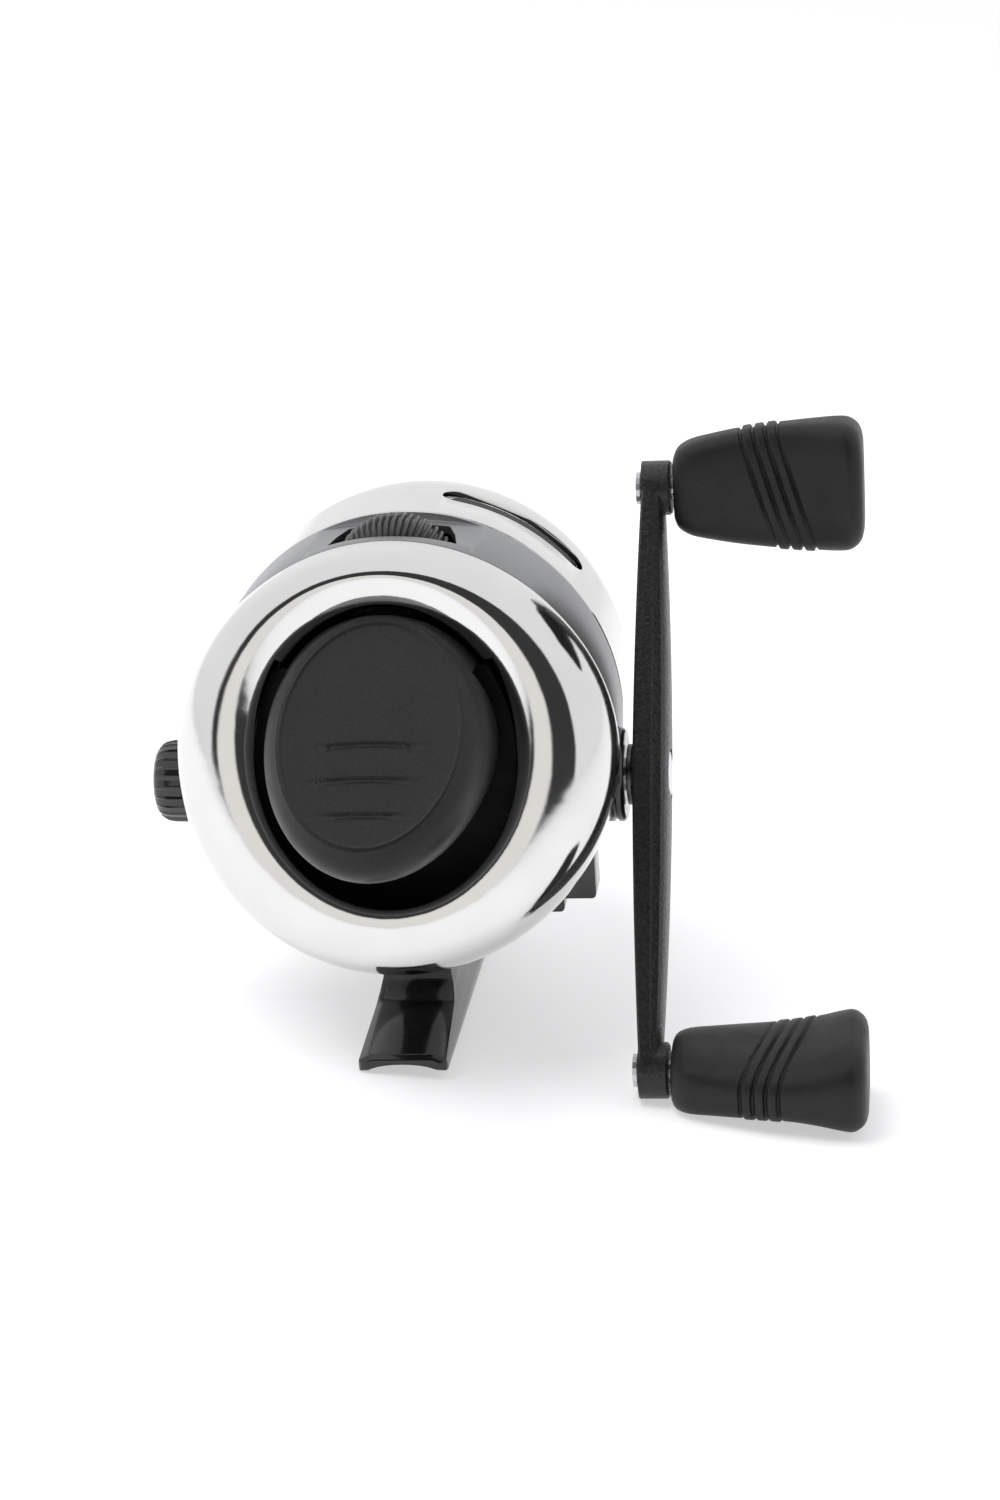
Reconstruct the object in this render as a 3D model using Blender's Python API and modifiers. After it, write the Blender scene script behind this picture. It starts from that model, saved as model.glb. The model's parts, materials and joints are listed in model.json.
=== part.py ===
"""Spincast fishing reel, built as the separate pieces that it comes apart into.

Lengths in the constants are millimetres in the reel's own frame: its origin is on the
spool axis, at the plane where the rear cover meets the body band.  +Y runs forward to the
nose, +Z up and +X to the crank.  The finished model has its origin under the foot.
"""
from math import atan2, cos, degrees, hypot, pi, radians, sin

import bmesh
import bpy
from mathutils import Matrix, Vector

MM = 0.001

# Driving dimensions
AXIS_Z = 44.5             # spool axis above the underside of the foot
RIM_Y = -12.0             # rear edge of the band, measured from the middle of the foot
BODY_R = 32.0             # outside radius of the body
SHELL = 0.85              # wall of the two plated covers
BAND_LEN = 15.2
BAND_WALL = 2.0
GAP = 0.3                 # gap kept between pieces that touch
RUNNING = 0.1             # radial clearance of a running fit
SEATED = 0.25             # radial clearance of a bore fixed on the crank shaft
SCREW_R = 0.9             # threads of the small screws, and the holes they turn in
TAP_R = 1.15

CRANK_Y = 4.8             # crank shaft, across the body
CRANK_Z = -7.1
CRANK_TILT = radians(31.9)
CRANK_REACH = 44.7        # crank axis to knob axis
SHAFT_R = 2.5
KNOB_LEN = 28.8
SPINDLE_R = 1.75          # rivet that a knob turns on
BOTTOM_ROLL = radians(98)    # the lower knob, turned on its rivet from the upper one
PIN_Y = 36.5              # station of the two pickup pins

GEAR_TEETH = 36
PINION_TEETH = 10
PINION_Y = 11.9
PITCH_R = 10.04           # face gear pitch radius
PINION_R = 3.944          # pinion pitch radius
FIT_SHAFT = 1.65          # bores that hold the 1.5 mm centre shaft
JOURNAL_R = 2.8           # pinion journal

COVER_Y = BAND_LEN + GAP  # rear edge of the front cover
NOSE_Y = 60.0
PRESS = 5.0               # travel of the thumb button

STEPS = 40                # facets round the large turned pieces
FINE = 24                 # facets round the small ones

REEL = Matrix.Translation((0, RIM_Y * MM, AXIS_Z * MM))
ALONG_Y = Matrix.Rotation(-pi / 2, 4, "X")
ALONG_X = Matrix.Rotation(pi / 2, 4, "Y")
SIDE = Matrix.Rotation(pi / 2, 4, "Z") @ Matrix.Rotation(pi / 2, 4, "X")


def at(x=0.0, y=0.0, z=0.0):
    return Matrix.Translation((x * MM, y * MM, z * MM))


SPOOL_AXIS = REEL @ ALONG_Y
CRANK_AXIS = REEL @ at(0, CRANK_Y, CRANK_Z) @ Matrix.Rotation(-CRANK_TILT, 4, "X")


# ---------------------------------------------------------------- scene and helpers

for old in list(bpy.data.objects):
    bpy.data.objects.remove(old, do_unlink=True)

parts = bpy.data.collections.new("spincast_reel")
cutters = bpy.data.collections.new("cutters")
bpy.context.scene.collection.children.link(parts)
bpy.context.scene.collection.children.link(cutters)


def finish(name, colour, roughness, metallic=0.0):
    made = bpy.data.materials.new(name)
    made.use_nodes = True
    shader = made.node_tree.nodes["Principled BSDF"]
    shader.inputs["Base Color"].default_value = (*colour, 1.0)
    shader.inputs["Roughness"].default_value = roughness
    shader.inputs["Metallic"].default_value = metallic
    made.diffuse_color = (*colour, 1.0)
    return made


CHROME = ("polished_chrome", (0.83, 0.84, 0.85), 0.08, 1.0)
BAND_GREY = ("band_grey", (0.16, 0.165, 0.175), 0.35, 0.9)
CAST_ZINC = ("cast_zinc", (0.45, 0.46, 0.48), 0.5, 1.0)
STEEL = ("steel", (0.62, 0.63, 0.65), 0.28, 1.0)
BRASS = ("brass", (0.72, 0.53, 0.24), 0.3, 1.0)
SATIN_BLACK = ("satin_black", (0.022, 0.022, 0.024), 0.42)
GLOSS_BLACK = ("gloss_black", (0.012, 0.012, 0.013), 0.2)
CRANK_BLACK = ("crank_black", (0.018, 0.018, 0.019), 0.38)
KNOB_BLACK = ("knob_black", (0.03, 0.03, 0.031), 0.5)
ACETAL = ("white_acetal", (0.75, 0.74, 0.7), 0.45)
FELT = ("felt", (0.3, 0.27, 0.22), 0.95)
LINE = ("line", (0.55, 0.62, 0.5), 0.3)


def add(name, data, look, place):
    """Put a mesh or curve in the scene; look None makes a hidden cutter."""
    obj = bpy.data.objects.new(name, data)
    obj.matrix_world = place
    if look is None:
        cutters.objects.link(obj)
        obj.display_type = "WIRE"
        obj.hide_render = True
    else:
        parts.objects.link(obj)
        data.materials.append(finish(name + "_" + look[0], *look[1:]))
    return obj


def mesh_from(bm, name):
    mesh = bpy.data.meshes.new(name)
    bm.to_mesh(mesh)
    bm.free()
    mesh.shade_smooth()
    mesh.set_sharp_from_angle(angle=radians(35))
    return mesh


def turned(name, profile, look, place=SPOOL_AXIS, steps=STEPS):
    """Turn a profile of (radius, along) round local Z.

    It runs down the outer side.  One that starts off the axis closes on itself and
    leaves a bore; one that starts and ends on the axis makes a solid.
    """
    bm = bmesh.new()
    verts = [bm.verts.new((radius * MM, 0, along * MM)) for radius, along in profile]
    for first, second in zip(verts, verts[1:]):
        bm.edges.new((first, second))
    if profile[0][0] > 0:
        bm.edges.new((verts[-1], verts[0]))
    obj = add(name, mesh_from(bm, name), look, place)
    screw = obj.modifiers.new("turn", "SCREW")
    screw.axis = "Z"
    screw.steps = steps
    screw.render_steps = steps
    screw.use_merge_vertices = True
    screw.merge_threshold = 0.00001
    screw.use_smooth_shade = False
    return obj


def ring(name, inner, outer, start, end, look, place=SPOOL_AXIS, steps=FINE):
    """A plain washer or tube between two stations along the axis."""
    return turned(name, [(inner, end), (outer, end), (outer, start), (inner, start)],
                  look, place, steps)


def rod(name, radius, start, end, look, place=SPOOL_AXIS, segments=FINE):
    """A cylinder along local Z."""
    bm = bmesh.new()
    bmesh.ops.create_cone(bm, cap_ends=True, segments=segments, radius1=radius * MM,
                          radius2=radius * MM, depth=(end - start) * MM,
                          matrix=at(z=(start + end) / 2))
    return add(name, mesh_from(bm, name), look, place)


def headed(name, radius, tip, seat, head_r, head_end, look, place, steps=12):
    """A screw, rivet or pin: a shank from tip to seat and a head beyond the seat."""
    return turned(name, [(0, head_end), (head_r, head_end), (head_r, seat), (radius, seat),
                         (radius, tip), (0, tip)], look, place, steps)


def box(name, low, high, look, place=REEL):
    bm = bmesh.new()
    size = [(b - a) * MM for a, b in zip(low, high)]
    middle = [(a + b) / 2 for a, b in zip(low, high)]
    bmesh.ops.create_cube(bm, size=1, matrix=at(*middle) @ Matrix.Diagonal((*size, 1)))
    return add(name, mesh_from(bm, name), look, place)


def plate(name, outlines, low, high, look, place=SPOOL_AXIS):
    """Fill flat outlines (the first outside, the rest holes) between two heights."""
    curve = bpy.data.curves.new(name, "CURVE")
    curve.dimensions = "2D"
    curve.fill_mode = "BOTH"
    curve.extrude = (high - low) / 2 * MM
    for outline in outlines:
        spline = curve.splines.new("POLY")
        spline.points.add(len(outline) - 1)
        for point, (u, v) in zip(spline.points, outline):
            point.co = (u * MM, v * MM, 0, 1)
        spline.use_cyclic_u = True
    return add(name, curve, look, place @ at(z=(low + high) / 2))


def as_mesh(obj):
    """Swap a curve object for a welded mesh object, so that it can be cut or joined."""
    bpy.context.view_layer.update()
    evaluated = obj.evaluated_get(bpy.context.evaluated_depsgraph_get())
    mesh = bpy.data.meshes.new_from_object(evaluated)
    bm = bmesh.new()
    bm.from_mesh(mesh)
    bmesh.ops.remove_doubles(bm, verts=bm.verts, dist=0.000001)
    bm.to_mesh(mesh)
    bm.free()
    name, home, place = obj.name, obj.users_collection[0], obj.matrix_world.copy()
    hidden = obj.hide_render
    bpy.data.objects.remove(obj, do_unlink=True)
    solid = bpy.data.objects.new(name, mesh)
    home.objects.link(solid)
    solid.matrix_world = place
    if hidden:
        solid.display_type = "WIRE"
        solid.hide_render = True
    return solid


def boolean(obj, other, operation):
    step = obj.modifiers.new(operation.lower() + "_" + other.name, "BOOLEAN")
    step.operation = operation
    step.solver = "EXACT"
    step.object = other
    return obj


def cut(obj, *others):
    for other in others:
        boolean(obj, other, "DIFFERENCE")
    return obj


def join(obj, *others):
    for other in others:
        boolean(obj, other, "UNION")
    return obj


def loft(name, sections, look, place=REEL, capped=True):
    """Skin a row of equal-length closed sections, from first to last."""
    bm = bmesh.new()
    rows = [[bm.verts.new(Vector(point) * MM) for point in section] for section in sections]
    count = len(rows[0])
    for row, following in zip(rows, rows[1:]):
        for i in range(count):
            j = (i + 1) % count
            bm.faces.new((row[i], row[j], following[j], following[i]))
    if capped:
        bm.faces.new(list(reversed(rows[0])))
        bm.faces.new(rows[-1])
    bmesh.ops.recalc_face_normals(bm, faces=bm.faces)
    return add(name, mesh_from(bm, name), look, place)


def circle(radius, count=FINE, centre=(0.0, 0.0)):
    return [(centre[0] + radius * cos(2 * pi * i / count),
             centre[1] + radius * sin(2 * pi * i / count)) for i in range(count)]


def arc(radius, start, end, count):
    """Points of an arc, by angle in degrees."""
    return [(radius * cos(radians(start + (end - start) * i / count)),
             radius * sin(radians(start + (end - start) * i / count)))
            for i in range(count + 1)]


def sector(name, inner, outer, start, end, low, high, look):
    """A curved block round the spool axis; angles in degrees from +Z towards +X."""
    outline = arc(outer, start, end, 6) + arc(inner, end, start, 6)
    from_top = REEL @ Matrix(((0, 1, 0, 0), (0, 0, -1, 0), (1, 0, 0, 0), (0, 0, 0, 1)))
    return as_mesh(plate(name, [outline], -high, -low, look, from_top))


def round_over(start, end, along, bend):
    """A point of a superelliptic quarter turn from start (leaving along Y) to end."""
    turn = pi / 2 * along
    forward = sin(turn) ** (2 / bend)
    inward = 1 - cos(turn) ** (2 / bend) if along < 1 else 1.0
    return (start[0] + (end[0] - start[0]) * inward,
            start[1] + (end[1] - start[1]) * forward,
            start[2] + (end[2] - start[2]) * inward)


def round_the_oval(half_x, half_z, centre_y, centre_z, slant, count):
    """An oval round the Y axis whose top stands forward of its middle by slant."""
    ring_points = []
    for i in range(count):
        turn = 2 * pi * i / count
        ring_points.append((half_x * sin(turn), centre_y + slant * cos(turn),
                            centre_z + half_z * cos(turn)))
    return ring_points


# ---------------------------------------------------------------- casing

BULGE = dict(half_x=33.2, half_z=32.5, centre_y=-1.8, centre_z=0.0, slant=0.0)
OPENING = dict(half_x=20.2, half_z=22.25, centre_y=-16.0, centre_z=3.15, slant=6.0)
COVER_ROWS = 5
COVER_BEND = 2.6
crank_hole = rod("crank_hole", 7.4, -40, 40, None, REEL @ at(0, CRANK_Y, CRANK_Z) @ ALONG_X)


def rear_cover():
    rim = round_the_oval(BODY_R, BODY_R, -GAP, 0, 0, STEPS)
    bulge = round_the_oval(**BULGE, count=STEPS)
    lip = round_the_oval(**OPENING, count=STEPS)
    rows = [rim, bulge] + [[round_over(a, b, (k + 1) / COVER_ROWS, COVER_BEND)
                            for a, b in zip(bulge, lip)] for k in range(COVER_ROWS)]
    rolled = dict(OPENING)
    rolled["half_x"] -= 0.9
    rolled["half_z"] -= 0.9
    rolled["centre_y"] += 0.9
    rows.append(round_the_oval(**rolled, count=STEPS))
    obj = loft("rear_cover", rows, CHROME, capped=False)
    shell = obj.modifiers.new("sheet", "SOLIDIFY")
    shell.thickness = SHELL * MM
    shell.offset = -1
    shell.use_even_offset = True
    return cut(obj, crank_hole)


def body_band():
    inner = BODY_R - BAND_WALL
    obj = turned("body_band", [(inner, BAND_LEN), (BODY_R, BAND_LEN), (BODY_R, 0),
                               (BODY_R - SHELL - GAP, 0), (BODY_R - SHELL - GAP, -3.4),
                               (inner - 0.2, -3.4), (inner - 0.2, 0)], BAND_GREY)
    for k in range(3):
        place = deck_place(k)
        join(obj, rod("band_boss_%d" % k, 2.0, 11.6, BAND_LEN, None, place, 12))
        cut(obj, rod("band_tap_%d" % k, TAP_R, 12.6, 16, None, place, 12))
    window = box("drag_window", (-9.9, 3.0, 24), (9.9, 12.0, 36), None)
    slot = sector("lever_slot", 29.0, 33.0, 130.5, 152.5, 3.9, 8.1, None)
    cut(obj, crank_hole, window, slot)
    for k, y in enumerate(FOOT_SCREWS_Y):
        cut(obj, rod("band_screw_hole_%d" % k, 1.4, -34, -28, None, REEL @ at(y=y), 12))
    return obj


def front_cover_profile():
    """The cover's outer side from its rear edge to the nose: barrel, shoulder, cone."""
    shoulder_r, shoulder_y = 26.0, 29.0
    points = [(BODY_R - 0.05, COVER_Y), (BODY_R - 0.05, shoulder_y)]
    for k in range(1, 6):
        turn = radians(10 * k)
        points.append((BODY_R - shoulder_r + shoulder_r * cos(turn) - 0.05,
                       shoulder_y + shoulder_r * sin(turn)))
    points.append((9.5, NOSE_Y))
    return points


def inward(points, depth):
    """Offset a profile's points towards the axis side by depth."""
    moved = []
    for i, (radius, along) in enumerate(points):
        before = points[max(i - 1, 0)]
        after = points[min(i + 1, len(points) - 1)]
        dr, dy = after[0] - before[0], after[1] - before[1]
        size = hypot(dr, dy)
        moved.append((radius - depth * dy / size, along + depth * dr / size))
    moved[0] = (moved[0][0], points[0][1])
    return moved


def stadium(half_len, half_width, count=6):
    """A slot outline with round ends, long in u."""
    straight = half_len - half_width
    right = [(straight + half_width * cos(a), half_width * sin(a))
             for a in [-pi / 2 + pi * i / count for i in range(count + 1)]]
    return right + [(-u, -v) for u, v in right]


SLOT_ANGLES = (31.0, 151.0, 271.0)
SLOT_Y = 25.5
SLOT_HALF = 12.2


def slot_frame(angle):
    """Local Z points out through the slot, local X along it round the body."""
    return REEL @ Matrix.Rotation(radians(angle), 4, "Y") @ at(y=SLOT_Y)


def front_cover():
    outer = front_cover_profile()
    inner = inward(outer, SHELL)
    obj = turned("front_cover", list(reversed(outer)) + inner, CHROME)
    for k, angle in enumerate(SLOT_ANGLES):
        cut(obj, as_mesh(plate("grip_slot_%d" % k, [stadium(SLOT_HALF, 2.5)], 24, 36, None,
                               slot_frame(angle))))
    return obj


def grip_insert(index, angle):
    """A dark grip pad that fills one slot of the front cover, just below its surface."""
    obj = as_mesh(plate("grip_insert_%d" % index, [stadium(SLOT_HALF - GAP, 2.5 - GAP)],
                        26, 36, SATIN_BLACK, slot_frame(angle)))
    skin = ring("grip_skin_%d" % index, 29.9, BODY_R - 0.45, SLOT_Y - 4, SLOT_Y + 4, None,
                steps=STEPS)
    return boolean(obj, skin, "INTERSECT")


def nose_ring():
    return turned("nose_ring", [(5.0, NOSE_Y + 0.6), (5.7, NOSE_Y + 1.5), (8.6, NOSE_Y + 1.5),
                                (9.4, NOSE_Y + 0.3), (7.9, NOSE_Y + 0.3), (7.9, NOSE_Y - 3),
                                (5.6, NOSE_Y - 3)], STEEL, steps=FINE)


# ---------------------------------------------------------------- frame and foot

LUG_X = (21.5, 25.2)
LUG_Z = (-13.6, -0.6)
PLATE_Y = (-9.0, -7.4)
PLATE_TOP = 15.5
HUB_R = 10.0
DECK_Y = (17.2, 19.5)
DECK_SCREW_R = 28.2
DRAG_Z = 24.4
FOOT_SCREWS_Y = (3.2, 8.8)
PAWL_AT = (11.74, -19.12)
PLATE_SCREW = (23.3, -3.2)


def main_frame():
    hub_end = 34.8
    obj = turned("main_frame", [
        (5.2, hub_end), (HUB_R, hub_end), (HUB_R, 34.2), (9.3, 34.2), (9.3, 33.4),
        (HUB_R, 33.4), (HUB_R, DECK_Y[1]), (30.6, DECK_Y[1]), (30.6, COVER_Y),
        (26.5, COVER_Y), (26.5, DECK_Y[0]), (5.2, DECK_Y[0])], CAST_ZINC)
    for side in (-1, 1):
        low, high = sorted((side * LUG_X[0], side * LUG_X[1]))
        lug = box("lug_%d" % side, (low, PLATE_Y[1] + GAP, LUG_Z[0]),
                  (high, DECK_Y[0] + 0.5, LUG_Z[1]), None)
        tap = rod("lug_tap_%d" % side, TAP_R, PLATE_Y[1], -2.7, None,
                  REEL @ at(side * PLATE_SCREW[0], 0, PLATE_SCREW[1]) @ ALONG_Y, 12)
        join(obj, lug)
        cut(obj, tap)
    boss = rod("drag_boss", 4.0, 12.0, DECK_Y[0] + 0.5, None, REEL @ at(z=DRAG_Z) @ ALONG_Y)
    ear = box("pawl_ear", (11.2, PAWL_AT[0] - 2.2, PAWL_AT[1] - 2.1),
              (13.2, DECK_Y[0] + 0.5, PAWL_AT[1] + 2.1), None)
    join(obj, boss, ear)
    cut(obj, rod("lug_bore", 4.15, -30, 30, None,
                 REEL @ at(0, CRANK_Y, CRANK_Z) @ ALONG_X),
        rod("drag_bore", 2.3, 11, 21, None, REEL @ at(z=DRAG_Z) @ ALONG_Y),
        rod("pawl_bore", 1.25, 11, 14, None, REEL @ at(0, *PAWL_AT) @ ALONG_X, 12))
    for k in range(3):
        cut(obj, rod("deck_hole_%d" % k, TAP_R, 14, 21, None, deck_place(k), 12))
    return obj


def deck_place(index):
    """One of the three screw positions round the deck, with local Z forward."""
    return SPOOL_AXIS @ Matrix.Rotation(radians(120 * index + 90), 4, "Z") @ at(x=DECK_SCREW_R)


def frame_screw(index):
    return headed("frame_screw_%d" % (index + 1), SCREW_R, 13.0, DECK_Y[1] + GAP, 1.6, 20.7,
                  STEEL, deck_place(index))


def rear_plate():
    """The black plate that closes the frame's rear and guides the shaft and button."""
    side, top, bottom, corner = LUG_X[1], PLATE_TOP, -23.0, 13.0
    outline = [(-side, 0), (-side, -7), (4 - side, -top), (side - 4, -top), (side, -7), (side, 0)]
    outline += [(side - corner * (1 - cos(a)), corner + (-bottom - corner) * sin(a))
                for a in (radians(22.5 * k) for k in range(5))]
    outline += [(-u, v) for u, v in reversed(outline[6:])]
    holes = [circle(3.4, 16)] + [circle(TAP_R, 12, (sign * PLATE_SCREW[0], -PLATE_SCREW[1]))
                                 for sign in (-1, 1)]
    return plate("rear_plate", [outline] + holes, *PLATE_Y, GLOSS_BLACK)


def plate_screw(index, side):
    place = REEL @ at(side * PLATE_SCREW[0], 0, PLATE_SCREW[1]) @ ALONG_Y \
        @ Matrix.Rotation(pi, 4, "X")
    return headed("plate_screw_%d" % index, SCREW_R, 3.2, -PLATE_Y[0] + GAP, 1.8, 10.5, STEEL,
                  place)


def foot():
    """The mounting foot: a saddle under the band and two tapering tongues."""
    rear, front, base = -20.5, 44.5, -AXIS_Z
    side = [(rear, base + 0.8), (rear + 0.6, base), (front - 0.6, base), (front, base + 0.8),
            (front, base + 2.1), (front - 0.8, base + 2.6), (24.5, -39.3), (20.5, -37.4),
            (16.2, -33.7), (14.9, -33.1), (14.9, -30.6), (0.7, -30.6), (0.5, -33.4),
            (-2.4, -38.2), (-5.5, -39.6), (rear + 0.8, base + 2.6), (rear, base + 2.1)]
    obj = as_mesh(plate("foot", [side], -6.8, 6.8, GLOSS_BLACK, REEL @ SIDE))
    edge = obj.modifiers.new("chamfer", "BEVEL")
    edge.width = 0.9 * MM
    edge.segments = 1
    edge.limit_method = "ANGLE"
    edge.angle_limit = radians(60)
    cut(obj, rod("saddle", BODY_R + GAP, -30, 60, None, segments=96))
    for k, y in enumerate(FOOT_SCREWS_Y):
        cut(obj, rod("foot_tap_%d" % k, 1.4, -41, -28, None, REEL @ at(y=y), 12))
    return obj


def foot_screw(index, y):
    return headed("foot_screw_%d" % (index + 1), 1.1, -40.5, -BODY_R + BAND_WALL + GAP, 2.0,
                  -28.2, STEEL, REEL @ at(y=y))


# ---------------------------------------------------------------- crank and drive

def crank_part(x=0.0, reach=0.0):
    """A frame on the crank, with local Z along the shaft and reach up the arm."""
    return CRANK_AXIS @ at(x, 0, reach) @ ALONG_X


def bushing(side):
    name = "crank_bushing_right" if side > 0 else "crank_bushing_left"
    end = 33.2 if side > 0 else 32.6
    place = REEL @ at(0, CRANK_Y, CRANK_Z) @ ALONG_X
    if side < 0:
        place = place @ Matrix.Rotation(pi, 4, "X")
    bore = SHAFT_R + RUNNING
    return turned(name, [(bore, end), (6.7, end), (7.1, end - 0.4), (7.1, 26.0), (3.9, 26.0),
                         (3.9, 21.3), (bore, 21.3)], GLOSS_BLACK, place, 32)


def crank_shaft():
    obj = rod("crank_shaft", SHAFT_R, -36, 36, STEEL, crank_part())
    return cut(obj, rod("shaft_tap", 1.65, 28, 37, None, crank_part(), 12))


KNOB_FACE = 40.3


def arm_section(along):
    """Six-sided section of the crank arm: flat inside, crowned outside."""
    t = abs(along) / CRANK_REACH
    width = 13.0 - 4.6 * t ** 0.8
    inside = 34.6 + 1.0 * t ** 2
    outside = 40.0 - 1.3 * t ** 2
    shoulder = inside + 0.55 * (outside - inside)
    half = width / 2
    return [(inside, -half, along), (shoulder, -half, along), (outside, -half / 2, along),
            (outside, half / 2, along), (shoulder, half, along), (inside, half, along)]


def crank_arm():
    stations = [CRANK_REACH * k / 5 for k in range(-5, 6)]
    obj = loft("crank_arm", [arm_section(s) for s in stations], CRANK_BLACK, CRANK_AXIS)
    for k, reach in enumerate((CRANK_REACH, -CRANK_REACH)):
        join(obj, rod("arm_boss_%d" % k, 4.2, 35.4, 39.9, None, crank_part(0, reach)))
    for k, reach in enumerate((CRANK_REACH, -CRANK_REACH)):
        cut(obj, rod("arm_bore_%d" % k, 2.0, 30, 45, None, crank_part(0, reach), 12))
    return cut(obj, rod("hub_bore", SHAFT_R + SEATED, 30, 36.4, None, crank_part()),
               rod("screw_bore", 1.7, 30, 45, None, crank_part(), 12),
               rod("screw_seat", 3.7, 38.4, 45, None, crank_part()))


def crank_screw():
    return headed("crank_screw", 1.4, 29, 38.7, 3.4, 39.8, STEEL, crank_part(), 16)


def hub_spacer():
    return ring("hub_spacer", SHAFT_R + SEATED, 4.6, 33.5, 34.3, STEEL, crank_part())


def knob_spindle(label, reach):
    """A rivet through the arm's end that the knob turns on."""
    place = crank_part(0, reach)
    return turned("knob_spindle_" + label,
                  [(0, 65), (SPINDLE_R, 65), (SPINDLE_R, 35.1), (2.5, 35.1), (2.5, 34.5),
                   (0, 34.5)],
                  STEEL, place, 16)


# Stations of a knob: distance from its inner end, half width, half thickness
KNOB_SHAPE = ((0, 4.9, 3.5), (0.35, 5.75, 4.1), (1.1, 6.6, 4.5), (2.7, 7.45, 4.65),
              (6.0, 8.25, 4.5), (9.7, 9.0, 4.4), (14.5, 9.65, 4.45), (18.5, 10.0, 4.8),
              (22.0, 10.2, 5.6), (25.0, 10.25, 6.6), (26.6, 10.05, 6.95), (27.8, 9.4, 6.5),
              (28.5, 8.4, 5.8), (KNOB_LEN, 7.2, 5.0))


def knob_section(along, wide, narrow, count=24, square=3.2):
    """A rounded rectangle across the knob, wide in local X."""
    ring_points = []
    for i in range(count):
        turn = 2 * pi * i / count
        c, s = cos(turn), sin(turn)
        size = (abs(c) ** square + abs(s) ** square) ** (-1 / square)
        ring_points.append((wide * size * c, narrow * size * s, along))
    return ring_points


def knob(label, reach, roll):
    """A paddle grip: its wide sides splay outwards, its flat sides pinch in the middle."""
    place = crank_part(KNOB_FACE, reach) @ Matrix.Rotation(roll + CRANK_TILT, 4, "Z")
    obj = loft("knob_" + label, [knob_section(*row) for row in KNOB_SHAPE], KNOB_BLACK, place)
    return cut(obj, rod("knob_bore_" + label, SPINDLE_R + RUNNING + 0.05, -1, 25.5, None,
                        place, 16))


def shaft_cap():
    """The knurled cap on the far end of the crank shaft."""
    ribs, outer, root = 24, 6.4, 6.0
    outline = []
    for k in range(ribs):
        for share, radius in ((0.0, root), (0.5, outer)):
            turn = 2 * pi * (k + share) / ribs
            outline.append((radius * cos(turn), radius * sin(turn)))
    obj = as_mesh(plate("shaft_cap", [outline], -38.4, -33.0, GLOSS_BLACK, crank_part()))
    dome = turned("cap_dome", [(0, -38.0), (5.6, -38.0), (5.6, -38.5), (4.6, -39.2), (0, -39.2)],
                  None, crank_part(), FINE)
    join(obj, dome)
    return cut(obj, rod("cap_bore", SHAFT_R + SEATED, -36.4, -30, None, crank_part(), 16))


def face_gear():
    """A crown of short radial teeth on a disc, with a hub behind it."""
    outer, inner = 11.1, 8.9
    tip_x, root_x, back_x, hub_x = 3.3, 4.9, 6.4, 8.7
    root_half, tip_half = 0.31 / PITCH_R, 0.17 / PITCH_R
    pitch = 2 * pi / GEAR_TEETH
    phase = pi / 4 + pitch / 2
    bm = bmesh.new()

    def tooth_ring(radius, x, half):
        row = []
        for k in range(GEAR_TEETH):
            for edge in (-half, half):
                turn = phase + pitch * k + edge
                row.append(bm.verts.new((x * MM, radius * cos(turn) * MM,
                                         radius * sin(turn) * MM)))
        return row

    crown = [tooth_ring(outer, root_x, root_half), tooth_ring(inner, root_x, root_half)]
    tips = [tooth_ring(outer, tip_x, tip_half), tooth_ring(inner, tip_x, tip_half)]
    back = tooth_ring(outer, back_x, root_half)
    count = 2 * GEAR_TEETH
    for i in range(count):
        j = (i + 1) % count
        bm.faces.new((crown[0][i], crown[0][j], back[j], back[i]))
        if i % 2:
            bm.faces.new((crown[0][j], crown[0][i], crown[1][i], crown[1][j]))
            continue
        for a, b in ((crown[0], tips[0]), (tips[0], tips[1]), (tips[1], crown[1])):
            bm.faces.new((a[j], a[i], b[i], b[j]))
        for k in (i, j):
            bm.faces.new((crown[0][k], tips[0][k], tips[1][k], crown[1][k]))
    bm.faces.new(crown[1])
    bm.faces.new(back)
    bmesh.ops.recalc_face_normals(bm, faces=bm.faces)
    axis = REEL @ at(0, CRANK_Y, CRANK_Z)
    obj = add("drive_gear", mesh_from(bm, "drive_gear"), BRASS, axis)
    join(obj, rod("gear_hub", 5.0, back_x - 0.3, hub_x, None, axis @ ALONG_X))
    return cut(obj, rod("gear_bore", SHAFT_R + SEATED, 0, 12, None, axis @ ALONG_X, 16))


def pinion():
    """A helical pinion with a long journal, bored for the centre shaft."""
    tip_r, root_r, half_len, layers = 4.6, 3.0, 2.0, 4
    sections = []
    for k in range(layers + 1):
        y = -half_len + 2 * half_len * k / layers
        twist = y / PINION_R
        outline = []
        for tooth in range(PINION_TEETH):
            turn = 2 * pi * tooth / PINION_TEETH + twist
            for radius, offset in ((root_r, -0.475), (tip_r, -0.17), (tip_r, 0.17),
                                   (root_r, 0.475)):
                angle = turn + offset / radius
                outline.append((radius * cos(angle), PINION_Y + y, radius * sin(angle)))
        sections.append(outline)
    obj = loft("pinion_gear", sections, BRASS)
    join(obj, rod("pinion_journal", JOURNAL_R, 9.5, 34.4, None, segments=16))
    return cut(obj, rod("pinion_bore", FIT_SHAFT, 5, 40, None, segments=16))


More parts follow.
